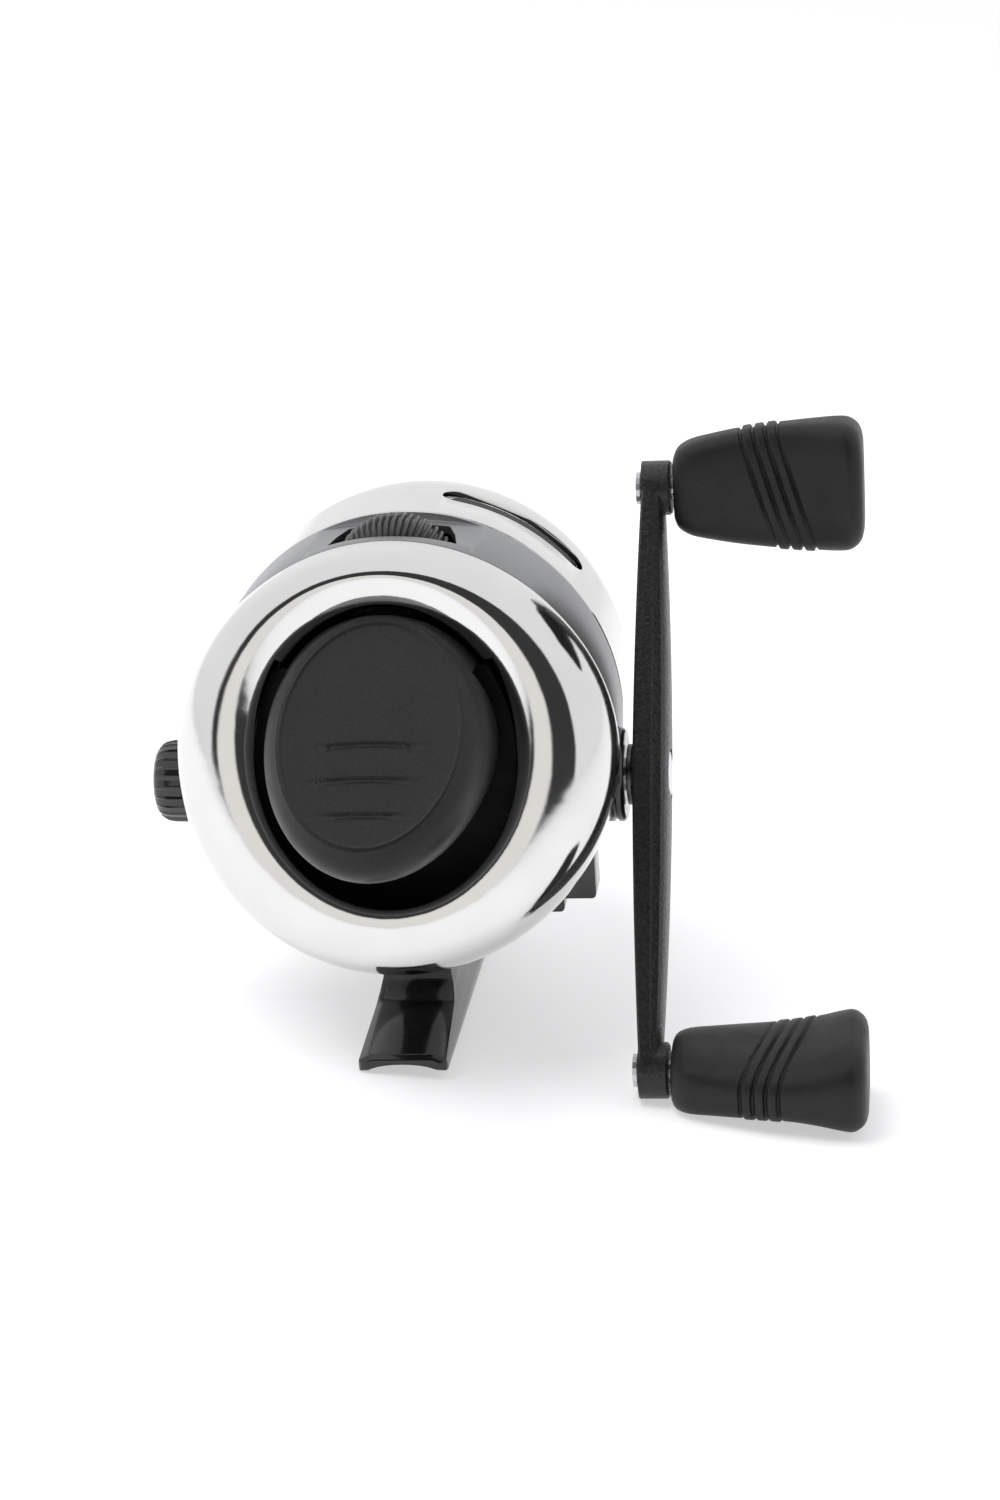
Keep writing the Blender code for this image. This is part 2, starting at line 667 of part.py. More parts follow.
def ratchet_wheel():
    """Its teeth stand so that the pawl's tip can drop between two of them."""
    teeth, tip_r, root_r = 12, 8.5, 6.7
    to_pawl = degrees(atan2(PAWL_AT[1] - CRANK_Z, PAWL_AT[0] - CRANK_Y))
    outline = []
    for k in range(teeth):
        start = to_pawl - 36.1 + 360 / teeth * k
        for radius, turn in ((root_r, start - 8), (tip_r, start + 20), (tip_r, start + 22)):
            outline.append((radius * cos(radians(turn)), radius * sin(radians(turn))))
    return plate("ratchet_wheel", [outline, circle(SHAFT_R + SEATED, 16)], 9.0, 10.6, STEEL,
                 REEL @ at(0, CRANK_Y, CRANK_Z) @ SIDE)


def ratchet_pawl():
    """Held clear of the wheel at rest; a round heel balances its tip about the pin."""
    reach, eye_r, heel_r = 9.0, 2.2, 4.5
    to_wheel = degrees(atan2(CRANK_Z - PAWL_AT[1], CRANK_Y - PAWL_AT[0]))
    outline = arc(eye_r, 50, 110, 3) + arc(heel_r, 110, 250, 10) + arc(eye_r, 250, 310, 3)
    outline += [(6, -0.35), (reach, -0.3), (reach, 0.3), (6, 0.8)]
    place = REEL @ at(0, *PAWL_AT) @ SIDE @ Matrix.Rotation(radians(to_wheel + 41.3), 4, "Z")
    return plate("ratchet_pawl", [outline, circle(1.0 + RUNNING, 12)], 9.0, 10.5, STEEL, place)


def pawl_pin():
    place = REEL @ at(0, *PAWL_AT) @ ALONG_X @ Matrix.Rotation(pi, 4, "X")
    return headed("pawl_pin", 1.0, -13.0, -8.7, 1.8, -8.0, STEEL, place)


def anti_reverse_lever():
    """A curved slide inside the band with a stepped thumb tab outside it."""
    obj = sector("anti_reverse_lever", 28.2, 29.55, 122, 157, 2.5, 9.5, GLOSS_BLACK)
    join(obj, sector("lever_neck", 29.0, 33.0, 132.5, 140.5, 4.2, 7.8, None),
         sector("lever_tab", 32.4, 35.4, 128, 145, 3.0, 9.0, None),
         sector("lever_step", 35.0, 37.8, 131, 139, 3.4, 8.6, None))
    return obj


# ---------------------------------------------------------------- spool, spinner and drag

def spool():
    bore = HUB_R + RUNNING + 0.05
    return turned("spool", [(bore, 33.1), (22.5, 33.1), (22.5, 31.6), (14.0, 31.6),
                            (14.0, 22.2), (27.0, 22.2), (27.0, 21.0), (bore, 21.0)], ACETAL)


def spool_clip():
    """An open spring ring in the hub's groove."""
    outline = arc(11.8, 120, 420, 20) + arc(9.55, 420, 120, 20)
    return plate("spool_clip", [outline], 33.5, 34.1, STEEL)


def drag_leaf():
    """A flat spring plate that carries the drag screw's push to the spool washer."""
    tab_r, half = 27.0, 9.0
    outline = arc(16.5, -90 + 22, 270 - 22, 24) + arc(tab_r, -90 - half, -90 + half, 4)
    return plate("drag_leaf", [outline, circle(10.4, 32)], 19.8, 20.1, STEEL)


def drag_wheel():
    ribs, outer, root = 54, 10.0, 9.4
    outline = []
    for k in range(ribs):
        for share, radius in ((0.0, root), (0.5, outer)):
            turn = 2 * pi * (k + share) / ribs
            outline.append((radius * cos(turn), radius * sin(turn)))
    return plate("drag_wheel", [outline, circle(2.2, 16)], 3.6, 11.4, SATIN_BLACK,
                 REEL @ at(z=DRAG_Z) @ ALONG_Y)


def drag_screw():
    place = REEL @ at(z=DRAG_Z) @ ALONG_Y @ Matrix.Rotation(pi, 4, "X")
    return headed("drag_screw", 2.0, -19.5, -3.3, 3.4, -2.4, STEEL, place, 16)


def spinner_head():
    obj = turned("spinner_head", [
        (FIT_SHAFT + 0.1, 43), (19, 43), (25, 38), (25, 30), (24, 30), (24, 37.4),
        (18.4, 41.8), (4.5, 41.8), (4.5, 36.2), (FIT_SHAFT + 0.1, 36.2)], STEEL)
    return cut(obj, rod("pin_holes", 1.0, -30, 30, None, REEL @ at(y=PIN_Y) @ ALONG_X, 12))


def pickup_pin(index, side):
    """A hardened pin that catches the line; it draws in when the button is pressed."""
    place = REEL @ at(y=PIN_Y) @ ALONG_X
    if side < 0:
        place = place @ Matrix.Rotation(pi, 4, "X")
    return turned("pickup_pin_%d" % index,
                  [(0, 27.8), (0.5, 27.8), (0.8, 27.4), (0.8, 21.0), (1.6, 21.0), (1.6, 20.0),
                   (0, 20.0)], STEEL, place, 12)


def spring(name, coil_r, wire_r, start, end, turns, per_turn, look):
    """A wound compression spring whose end coils lie close together."""
    curve = bpy.data.curves.new(name, "CURVE")
    curve.dimensions = "3D"
    curve.bevel_depth = wire_r * MM
    curve.bevel_resolution = 2
    curve.use_fill_caps = True
    spline = curve.splines.new("POLY")
    count = turns * per_turn
    spline.points.add(count)
    for i, point in enumerate(spline.points):
        share = i / count
        eased = share - sin(2 * pi * share) / (2 * pi) * 0.6
        turn = 2 * pi * i / per_turn
        along = start + wire_r + (end - start - 2 * wire_r) * eased
        point.co = (coil_r * cos(turn) * MM, coil_r * sin(turn) * MM, along * MM, 1)
    return add(name, curve, look, SPOOL_AXIS)


# ---------------------------------------------------------------- thumb button

PAD_LOW = (-38.5, -1.9)     # (y, z) of the pad's lower and upper edge
PAD_HIGH = (-10.2, 23.3)


def thumb_button():
    """An oval plunger, cut off by a slanting oval thumb pad."""
    count, rows = 32, 5
    base = round_the_oval(17.0, 17.2, -9.3, 6.4, 0, count)
    pad = round_the_oval(13.6, (PAD_HIGH[1] - PAD_LOW[1]) / 2,
                         (PAD_LOW[0] + PAD_HIGH[0]) / 2, (PAD_LOW[1] + PAD_HIGH[1]) / 2,
                         (PAD_HIGH[0] - PAD_LOW[0]) / 2, count)
    sections = [base] + [[round_over(a, b, (k + 1) / rows, 3.0) for a, b in zip(base, pad)]
                         for k in range(rows)]
    obj = loft("thumb_button", sections, SATIN_BLACK)
    seat = PLATE_Y[0] - PRESS - GAP
    join(obj, box("button_key", (-1, -19, -12.6), (1, seat, -9), None))
    return cut(obj, box("plate_room", (-30, seat, -30), (30, 0, PLATE_TOP + 0.7), None))


# ---------------------------------------------------------------- build

rear_cover()
body_band()
front_cover()
for number, slot_angle in enumerate(SLOT_ANGLES):
    grip_insert(number + 1, slot_angle)
nose_ring()
main_frame()
for number in range(3):
    frame_screw(number)
rear_plate()
plate_screw(1, 1)
plate_screw(2, -1)
foot()
for number, screw_y in enumerate(FOOT_SCREWS_Y):
    foot_screw(number, screw_y)

bushing(1)
bushing(-1)
crank_shaft()
crank_arm()
crank_screw()
hub_spacer()
knob_spindle("top", CRANK_REACH)
knob_spindle("bottom", -CRANK_REACH)
knob("top", CRANK_REACH, 0)
knob("bottom", -CRANK_REACH, BOTTOM_ROLL)
shaft_cap()
ring("shaft_circlip", SHAFT_R + 0.2, 4.2, -21.0, -20.2, STEEL, crank_part(), 16)
face_gear()
ratchet_wheel()
ratchet_pawl()
pawl_pin()
anti_reverse_lever()

pinion()
ring("pinion_bushing", JOURNAL_R + RUNNING + 0.05, 4.95, 17.5, 33.0, BRASS, steps=16)
ring("pinion_clip", 3.0, 4.7, 33.2, 34.0, STEEL, steps=12)
spool()
ring("line_pack", 14.3, 20.0, 22.5, 31.3, LINE, steps=STEPS)
spool_clip()
ring("drag_washer", 11.0, 19.5, 20.35, 20.75, FELT, steps=32)
drag_leaf()
drag_wheel()
drag_screw()
rod("centre_shaft", 1.5, PLATE_Y[0] - PRESS, 46.5, STEEL, segments=16)
ring("shaft_collar", 1.75, 3.1, -10.6, -9.7, STEEL, steps=16)
spring("shaft_spring", 2.6, 0.35, -9.4, 9.2, 6, 8, STEEL)
spinner_head()
pickup_pin(1, 1)
pickup_pin(2, -1)
ring("spinner_nut", 1.75, 3.3, 43.3, 45.6, BRASS, steps=6)
thumb_button()
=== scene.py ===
import json
from math import atan2, cos, degrees, exp, hypot, pi, radians, sin, sqrt, tan

import bmesh
import bpy
from mathutils import Matrix, Vector


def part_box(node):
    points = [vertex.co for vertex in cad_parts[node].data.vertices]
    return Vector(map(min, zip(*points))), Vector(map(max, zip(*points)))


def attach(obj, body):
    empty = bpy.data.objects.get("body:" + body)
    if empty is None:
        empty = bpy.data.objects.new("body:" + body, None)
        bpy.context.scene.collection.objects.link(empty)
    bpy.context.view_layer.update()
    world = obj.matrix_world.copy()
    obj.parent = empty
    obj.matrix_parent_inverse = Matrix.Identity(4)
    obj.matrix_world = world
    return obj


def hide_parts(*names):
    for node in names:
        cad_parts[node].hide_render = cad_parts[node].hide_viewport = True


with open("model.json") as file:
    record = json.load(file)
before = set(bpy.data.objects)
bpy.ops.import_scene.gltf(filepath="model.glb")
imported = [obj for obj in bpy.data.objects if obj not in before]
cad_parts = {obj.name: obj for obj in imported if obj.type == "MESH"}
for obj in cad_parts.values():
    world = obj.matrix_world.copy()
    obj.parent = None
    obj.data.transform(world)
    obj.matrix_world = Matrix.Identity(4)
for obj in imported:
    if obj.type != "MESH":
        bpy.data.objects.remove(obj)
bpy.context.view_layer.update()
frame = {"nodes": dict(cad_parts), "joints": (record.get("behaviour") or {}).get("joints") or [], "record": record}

# ---------------------------------------------------------------- places, from the frame
# Lengths below are millimetres in the reel's own frame: the origin is on the spool axis where
# the rear cover meets the band, +Y runs forward to the nose, +X to the crank and +Z up.

MM = 0.001
JOINT = {joint["name"]: joint for joint in frame["joints"]}
REEL = Vector(JOINT["pinion_spin"]["pos_m"])


def reel_box(node):
    """A node's lowest and highest corner in the reel's frame, in millimetres."""
    low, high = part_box(node)
    return (low - REEL) / MM, (high - REEL) / MM


BODY_R = reel_box("body_band")[1].x
BAND_END = reel_box("body_band")[1].y
COVER_START = reel_box("front_cover")[0].y
NOSE_END = reel_box("front_cover")[1].y
CRANK = (Vector(JOINT["crank_turn"]["pos_m"]) - REEL) / MM
KNOB_TOP = (Vector(JOINT["knob_top_spin"]["pos_m"]) - REEL) / MM
TILT = atan2(KNOB_TOP.y - CRANK.y, KNOB_TOP.z - CRANK.z)
REACH = hypot(KNOB_TOP.y - CRANK.y, KNOB_TOP.z - CRANK.z)
FOOT_LOW, FOOT_HIGH = reel_box("foot")
DRAG_AXIS = (Vector(JOINT["drag_wheel_turn"]["pos_m"]) - REEL) / MM
DRAG_LOW, DRAG_HIGH = reel_box("drag_wheel")
SHELL = 0.85            # thickness of the chromed covers
CUT_ANGLE = 32          # an edge sharper than this many degrees stays crisp after a cut
SOFT_ANGLE = 35         # the same, after an edge has been rounded


# ---------------------------------------------------------------- mesh helpers

def to_world(point):
    return REEL + Vector(point) * MM


def make(name, verts, faces, body, replaced, slot, look, sharp=SOFT_ANGLE):
    """Turn reel-frame points and faces into a piece on a body, or into a plain tool."""
    mesh = bpy.data.meshes.new(name)
    mesh.from_pydata([to_world(v) for v in verts], [], faces)
    bm = bmesh.new()
    bm.from_mesh(mesh)
    bmesh.ops.remove_doubles(bm, verts=bm.verts, dist=0.0000002)
    bmesh.ops.delete(bm, geom=[e for e in bm.edges if not e.link_faces], context="EDGES")
    bmesh.ops.recalc_face_normals(bm, faces=bm.faces)
    if bm.calc_volume(signed=True) < 0:
        bmesh.ops.reverse_faces(bm, faces=bm.faces)
    bm.to_mesh(mesh)
    bm.free()
    mesh.shade_smooth()
    mesh.set_sharp_from_angle(angle=radians(sharp))
    obj = bpy.data.objects.new(name, mesh)
    bpy.context.scene.collection.objects.link(obj)
    if body is None:
        return obj
    mesh.materials.append(look)
    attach(obj, body)
    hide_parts(replaced)
    return obj


def skin(rows, wrap=True, start_cap=False, end_cap=False, ends_meet=False):
    """Points and quads over rows of equal length."""
    verts = [point for row in rows for point in row]
    count = len(rows[0])
    faces = []
    pairs = list(zip(range(len(rows)), range(1, len(rows))))
    if ends_meet:
        pairs.append((len(rows) - 1, 0))
    for a, b in pairs:
        for i in range(count if wrap else count - 1):
            j = (i + 1) % count
            faces.append((a * count + i, a * count + j, b * count + j, b * count + i))
    if start_cap:
        faces.append(tuple(range(count - 1, -1, -1)))
    if end_cap:
        faces.append(tuple((len(rows) - 1) * count + i for i in range(count)))
    return verts, faces


def rounded(points, radius, steps=5):
    """Round the corners of a 2D outline; radius is one number or one for each corner."""
    radii = radius if isinstance(radius, (list, tuple)) else [radius] * len(points)
    result = []
    last = len(points)
    for i, (corner, r) in enumerate(zip(points, radii)):
        if r <= 0:
            result.append(tuple(corner))
            continue
        here = Vector(corner)
        before = Vector(points[i - 1]) - here
        after = Vector(points[(i + 1) % last]) - here
        bend = before.angle(after)
        if bend > radians(176):
            result.append(tuple(corner))
            continue
        reach = min(r / tan(bend / 2), before.length * 0.48, after.length * 0.48)
        size = reach * tan(bend / 2)
        middle = here + (before.normalized() + after.normalized()).normalized() \
            * (size / sin(bend / 2))
        first = here + before.normalized() * reach - middle
        final = here + after.normalized() * reach - middle
        sweep = first.angle_signed(final)
        for k in range(steps + 1):
            turn = -sweep * k / steps
            c, s = cos(turn), sin(turn)
            result.append((middle.x + first.x * c - first.y * s,
                           middle.y + first.x * s + first.y * c))
    return result


def lathe(profile, steps=128, closed=True, place=None):
    """Turn (radius, along) points round the spool axis, or round the axis of place."""
    rows = []
    for k in range(steps):
        turn = 2 * pi * k / steps
        row = [Vector((radius * sin(turn), along, radius * cos(turn)))
               for radius, along in profile]
        rows.append([place @ point for point in row] if place else row)
    if not closed:
        return skin(rows, wrap=False, ends_meet=True)
    return skin(rows, ends_meet=True)


def drum(radius, start, end, steps=64, place=None, chamfer=0.0):
    """A solid cylinder round the spool axis, or round the axis of place."""
    profile = [(0, start), (radius, start), (radius, end - chamfer), (radius - chamfer, end),
               (0, end)]
    return lathe(profile, steps, False, place)


def together(*shapes):
    """The points and faces of several shapes as one."""
    verts, faces = [], []
    for more_verts, more_faces in shapes:
        faces += [tuple(i + len(verts) for i in face) for face in more_faces]
        verts += more_verts
    return verts, faces


def on_x(x=0.0, y=0.0, z=0.0):
    """Frame whose local Y (the lathe's axis) lies along +X from a point."""
    return Matrix.Translation((x, y, z)) @ Matrix.Rotation(-pi / 2, 4, "Z")


def crank_frame(reach=0.0):
    """Frame on the crank: local X along its shaft, local Z up the arm."""
    return Matrix.Translation(CRANK) @ Matrix.Rotation(-TILT, 4, "X") \
        @ Matrix.Translation((0, 0, reach))


def extrude(outline, low, high, place=None, to3d=lambda u, v, w: (w, u, v)):
    """A prism of a 2D outline between two heights."""
    rows = []
    for w in (low, high):
        row = [Vector(to3d(u, v, w)) for u, v in outline]
        rows.append([place @ point for point in row] if place else row)
    return skin(rows, start_cap=True, end_cap=True)


def soften(obj, width, segments=3, angle=40.0):
    """Round a piece's sharp edges for good."""
    step = obj.modifiers.new("soften", "BEVEL")
    step.width = width * MM
    step.segments = segments
    step.limit_method = "ANGLE"
    step.angle_limit = radians(angle)
    bake(obj)
    obj.data.shade_smooth()
    obj.data.set_sharp_from_angle(angle=radians(SOFT_ANGLE))
    return obj


def bake(obj):
    """Apply an object's modifiers."""
    bpy.context.view_layer.update()
    evaluated = obj.evaluated_get(bpy.context.evaluated_depsgraph_get())
    mesh = bpy.data.meshes.new_from_object(evaluated)
    obj.modifiers.clear()
    obj.data = mesh
    return obj


def carve(obj, verts_faces, operation="DIFFERENCE"):
    """Cut a shape out of a piece, or join it on, and drop the tool."""
    tool = make("tool", *verts_faces, None, None, None, None)
    step = obj.modifiers.new("carve", "BOOLEAN")
    step.operation = operation
    step.solver = "EXACT"
    step.use_hole_tolerant = True
    step.object = tool
    bake(obj)
    bpy.data.objects.remove(tool, do_unlink=True)
    obj.data.shade_smooth()
    obj.data.set_sharp_from_angle(angle=radians(CUT_ANGLE))
    return obj


# ---------------------------------------------------------------- materials

class Nodes:
    """Short calls for building one material's node tree in object space, in millimetres."""

    def __init__(self, name):
        self.material = bpy.data.materials.new(name)
        self.material.use_nodes = True
        self.tree = self.material.node_tree
        self.shader = self.tree.nodes["Principled BSDF"]
        coords = self.tree.nodes.new("ShaderNodeTexCoord")
        scale = self.tree.nodes.new("ShaderNodeVectorMath")
        scale.operation = "SCALE"
        scale.inputs["Scale"].default_value = 1 / MM
        self.link(coords.outputs["Object"], scale.inputs[0])
        self.place = scale.outputs[0]

    def link(self, source, target):
        self.tree.links.new(source, target)

    def value(self, socket, number):
        self.shader.inputs[socket].default_value = number

    def stretched(self, x, y, z):
        node = self.tree.nodes.new("ShaderNodeVectorMath")
        node.operation = "MULTIPLY"
        node.inputs[1].default_value = (x, y, z)
        self.link(self.place, node.inputs[0])
        return node.outputs[0]

    def noise(self, scale, detail=3.0, rough=0.5, where=None, distortion=0.0):
        node = self.tree.nodes.new("ShaderNodeTexNoise")
        node.inputs["Scale"].default_value = scale
        node.inputs["Detail"].default_value = detail
        node.inputs["Roughness"].default_value = rough
        node.inputs["Distortion"].default_value = distortion
        self.link(where or self.place, node.inputs["Vector"])
        return node.outputs["Fac"]

    def cells(self, scale):
        node = self.tree.nodes.new("ShaderNodeTexVoronoi")
        node.inputs["Scale"].default_value = scale
        self.link(self.place, node.inputs["Vector"])
        return node.outputs["Distance"]

    def ramp(self, source, low, high, start, end):
        node = self.tree.nodes.new("ShaderNodeMapRange")
        node.inputs["From Min"].default_value = low
        node.inputs["From Max"].default_value = high
        node.inputs["To Min"].default_value = start
        node.inputs["To Max"].default_value = end
        self.link(source, node.inputs["Value"])
        return node.outputs["Result"]

    def blend(self, factor, first, second):
        """Mix two colours by a factor."""
        node = self.tree.nodes.new("ShaderNodeMix")
        node.data_type = "RGBA"
        self.link(factor, node.inputs["Factor"])
        for socket, colour in ((node.inputs[6], first), (node.inputs[7], second)):
            if isinstance(colour, tuple):
                socket.default_value = (*colour, 1.0)
            else:
                self.link(colour, socket)
        return node.outputs[2]

    def bump(self, height, distance, strength=1.0, under=None):
        node = self.tree.nodes.new("ShaderNodeBump")
        node.inputs["Distance"].default_value = distance * MM
        node.inputs["Strength"].default_value = strength
        self.link(height, node.inputs["Height"])
        if under:
            self.link(under, node.inputs["Normal"])
        return node.outputs["Normal"]

    def painted_edge_highlight(self):
        """Painted highlight: high on the sharpest outward edges, where the light catches the bevels."""
        node = self.tree.nodes.new("ShaderNodeNewGeometry")
        return self.ramp(node.outputs["Pointiness"], 0.5, 0.62, 0.0, 1.0)

    def set(self, colour=None, roughness=None, normal=None):
        for socket, source in (("Base Color", colour), ("Roughness", roughness),
                               ("Normal", normal)):
            if source is not None:
                self.link(source, self.shader.inputs[socket])
        return self.material


def chrome():
    n = Nodes("polished_chrome")
    n.value("Metallic", 1.0)
    haze = n.noise(0.12, 3)
    fine = n.noise(5.0, 4, 0.7)
    scratch = n.noise(2.2, 2, 0.6, n.stretched(1.0, 14.0, 1.0))
    colour = n.blend(haze, (0.66, 0.655, 0.645), (0.735, 0.735, 0.73))
    roughness = n.ramp(haze, 0.3, 0.7, 0.035, 0.10)
    ripple = n.bump(n.noise(0.16, 2), 0.11, 0.45)
    dents = n.bump(n.noise(0.9, 3, 0.6), 0.006, 0.5, ripple)
    pitted = n.bump(fine, 0.005, 0.6, dents)
    return n.set(colour, roughness, n.bump(scratch, 0.003, 0.5, pitted))


def band_metal():
    n = Nodes("band_grey")
    n.value("Metallic", 0.85)
    grain = n.noise(3.0, 3, 0.6, n.stretched(1.0, 10.0, 1.0))
    colour = n.blend(n.noise(0.15, 2), (0.20, 0.202, 0.207), (0.25, 0.252, 0.257))
    roughness = n.ramp(grain, 0.3, 0.7, 0.26, 0.36)
    return n.set(colour, roughness, n.bump(grain, 0.004, 0.5))


def satin_plastic(name, dark, light, rough_low, rough_high, grain, depth):
    """Moulded black plastic with a fine spark-eroded texture."""
    n = Nodes(name)
    n.value("Specular IOR Level", 0.24)
    stipple = n.noise(grain, 4, 0.65)
    cloud = n.noise(0.25, 3)
    colour = n.blend(n.ramp(stipple, 0.35, 0.7, 0.0, 1.0), dark, light)
    roughness = n.ramp(cloud, 0.3, 0.7, rough_low, rough_high)
    return n.set(colour, roughness, n.bump(stipple, depth, 0.8))


def gloss_plastic():
    n = Nodes("gloss_black")
    n.value("Coat Weight", 0.3)
    n.value("Coat Roughness", 0.06)
    cloud = n.noise(0.35, 3)
    colour = n.blend(cloud, (0.004, 0.004, 0.004), (0.010, 0.010, 0.010))
    roughness = n.ramp(n.noise(1.4, 3), 0.3, 0.7, 0.10, 0.24)
    return n.set(colour, roughness, n.bump(cloud, 0.05, 0.35))


def powder_coat():
    """Black powder coat over a rough casting."""
    n = Nodes("crank_black")
    n.value("Specular IOR Level", 0.34)
    lumps = n.noise(1.5, 4, 0.7)
    pits = n.cells(1.9)
    colour = n.blend(n.ramp(lumps, 0.4, 0.75, 0.0, 1.0), (0.005, 0.005, 0.005),
                     (0.016, 0.0155, 0.015))
    # sharp outward edges lightened towards grey: a painted highlight along the bevels
    colour = n.blend(n.ramp(n.painted_edge_highlight(), 0.0, 1.0, 0.0, 0.30), colour, (0.05, 0.049, 0.047))
    roughness = n.ramp(lumps, 0.3, 0.7, 0.20, 0.40)
    first = n.bump(pits, 0.09, 0.6)
    return n.set(colour, roughness, n.bump(lumps, 0.20, 0.8, first))


def knob_grip():
    """Soft black grip with a fine leather grain."""
    n = Nodes("knob_black")
    n.value("Specular IOR Level", 0.28)
    grain = n.cells(3.4)
    fine = n.noise(6.0, 4, 0.7)
    colour = n.blend(n.ramp(fine, 0.35, 0.7, 0.0, 1.0), (0.009, 0.009, 0.009),
                     (0.017, 0.017, 0.017))
    roughness = n.ramp(n.noise(0.3, 3), 0.3, 0.7, 0.40, 0.52)
    first = n.bump(grain, 0.022, 0.55)
    return n.set(colour, roughness, n.bump(fine, 0.012, 0.7, first))


def turned_metal(name, dark, light, rough):
    """Machined metal with fine turning marks and a little staining."""
    n = Nodes(name)
    n.value("Metallic", 1.0)
    marks = n.noise(1.8, 3, 0.6, n.stretched(1.0, 9.0, 1.0))
    stain = n.noise(0.2, 3)
    colour = n.blend(stain, dark, light)
    roughness = n.ramp(marks, 0.3, 0.7, rough * 0.8, rough * 1.3)
    return n.set(colour, roughness, n.bump(marks, 0.006, 0.5))


def cast_zinc():
    n = Nodes("cast_zinc")
    n.value("Metallic", 1.0)
    skin_noise = n.noise(1.6, 4, 0.65)
    colour = n.blend(skin_noise, (0.34, 0.345, 0.355), (0.52, 0.525, 0.53))
    roughness = n.ramp(skin_noise, 0.3, 0.7, 0.4, 0.6)
    return n.set(colour, roughness, n.bump(skin_noise, 0.04, 0.6))


def acetal():
    n = Nodes("white_acetal")
    n.value("Subsurface Weight", 0.1)
    n.value("Subsurface Scale", 0.001)
    cloud = n.noise(0.4, 3)
    colour = n.blend(cloud, (0.68, 0.67, 0.63), (0.78, 0.77, 0.73))
    return n.set(colour, n.ramp(cloud, 0.3, 0.7, 0.35, 0.5), n.bump(n.noise(2.0), 0.008, 0.5))


def felt():
    n = Nodes("felt")
    n.value("Sheen Weight", 0.4)
    fibres = n.noise(4.0, 5, 0.75, distortion=1.5)
    colour = n.blend(fibres, (0.17, 0.15, 0.12), (0.36, 0.33, 0.27))
    return n.set(colour, n.ramp(fibres, 0.3, 0.7, 0.85, 1.0), n.bump(fibres, 0.08, 0.8))


def fishing_line():
    n = Nodes("line")
    n.value("Transmission Weight", 0.25)
    n.value("IOR", 1.5)
    turns = n.noise(1.0, 2, 0.5, n.stretched(0.4, 6.0, 0.4))
    colour = n.blend(turns, (0.42, 0.50, 0.38), (0.62, 0.68, 0.56))
    return n.set(colour, n.ramp(turns, 0.3, 0.7, 0.15, 0.35), n.bump(turns, 0.05, 0.5))


LOOK = {
    "polished_chrome": chrome(),
    "polished_steel": turned_metal("polished_steel", (0.60, 0.61, 0.62), (0.72, 0.73, 0.74), 0.1),
    "band_grey": band_metal(),
    "satin_black": satin_plastic("satin_black", (0.011, 0.011, 0.0105), (0.019, 0.019, 0.018),
                                 0.34, 0.44, 3.2, 0.016),
    "gloss_black": gloss_plastic(),
    "crank_black": powder_coat(),
    "knob_black": knob_grip(),
    "steel": turned_metal("steel", (0.50, 0.51, 0.53), (0.64, 0.65, 0.67), 0.26),
    "brass": turned_metal("brass", (0.62, 0.44, 0.18), (0.76, 0.57, 0.27), 0.26),
    "cast_zinc": cast_zinc(),
    "white_acetal": acetal(),
    "felt": felt(),
    "line": fishing_line(),
    "insert": satin_plastic("insert_dark", (0.016, 0.016, 0.017), (0.024, 0.024, 0.025),
                            0.42, 0.5, 4.0, 0.006),
    # near-black look for inner parts: painted shade for the reel's inside, seen through the cover's opening
    "plate": satin_plastic("plate_painted_shade", (0.003, 0.003, 0.003), (0.006, 0.006, 0.006),
                           0.62, 0.74, 4.0, 0.006),
    "wheel": satin_plastic("wheel_grey", (0.045, 0.045, 0.046), (0.085, 0.085, 0.085),
                           0.30, 0.42, 3.5, 0.015),
    "spacer": turned_metal("dark_spacer", (0.05, 0.05, 0.05), (0.12, 0.12, 0.12), 0.3),
}


# ---------------------------------------------------------------- rear cover

BULGE = dict(half_x=33.1, half_z=32.1, centre_y=-1.8, centre_z=-0.3, slant=0.0)
OPENING = dict(half_x=20.2, half_z=22.25, centre_y=-16.0, centre_z=3.15, slant=6.0)
COVER_BEND = 2.6
CREST_OUT = 3.6         # from the nominal opening out to the crest round it
LIP_IN = 0.9            # from the nominal opening in to the lip
CREST_HIGH = 1.7        # how far the crest stands behind the lip


def oval(half_x, half_z, centre_y, centre_z, slant, count):
    """An oval round the spool axis whose top stands forward of its middle by slant."""
    return [Vector((half_x * sin(t), centre_y + slant * cos(t), centre_z + half_z * cos(t)))
            for t in (2 * pi * i / count for i in range(count))]


def round_over(start, end, along, bend):
    """A point of a superelliptic quarter turn that leaves start along Y."""
    turn = pi / 2 * along
    forward = sin(turn) ** (2 / bend)
    inward = 1 - max(cos(turn), 0.0) ** (2 / bend)
    return Vector((start.x + (end.x - start.x) * inward,
                   start.y + (end.y - start.y) * forward,
                   start.z + (end.z - start.z) * inward))


def boss_clearance():
    """The round holes that the crank bushings pass through."""
    return drum(7.35, -45, 45, 96, on_x(0, CRANK.y, CRANK.z))


def grown(shape, wide, back):
    """An oval's sizes, made wider all round and set back."""
    return dict(shape, half_x=shape["half_x"] + wide, half_z=shape["half_z"] + wide,
                centre_y=shape["centre_y"] + back)


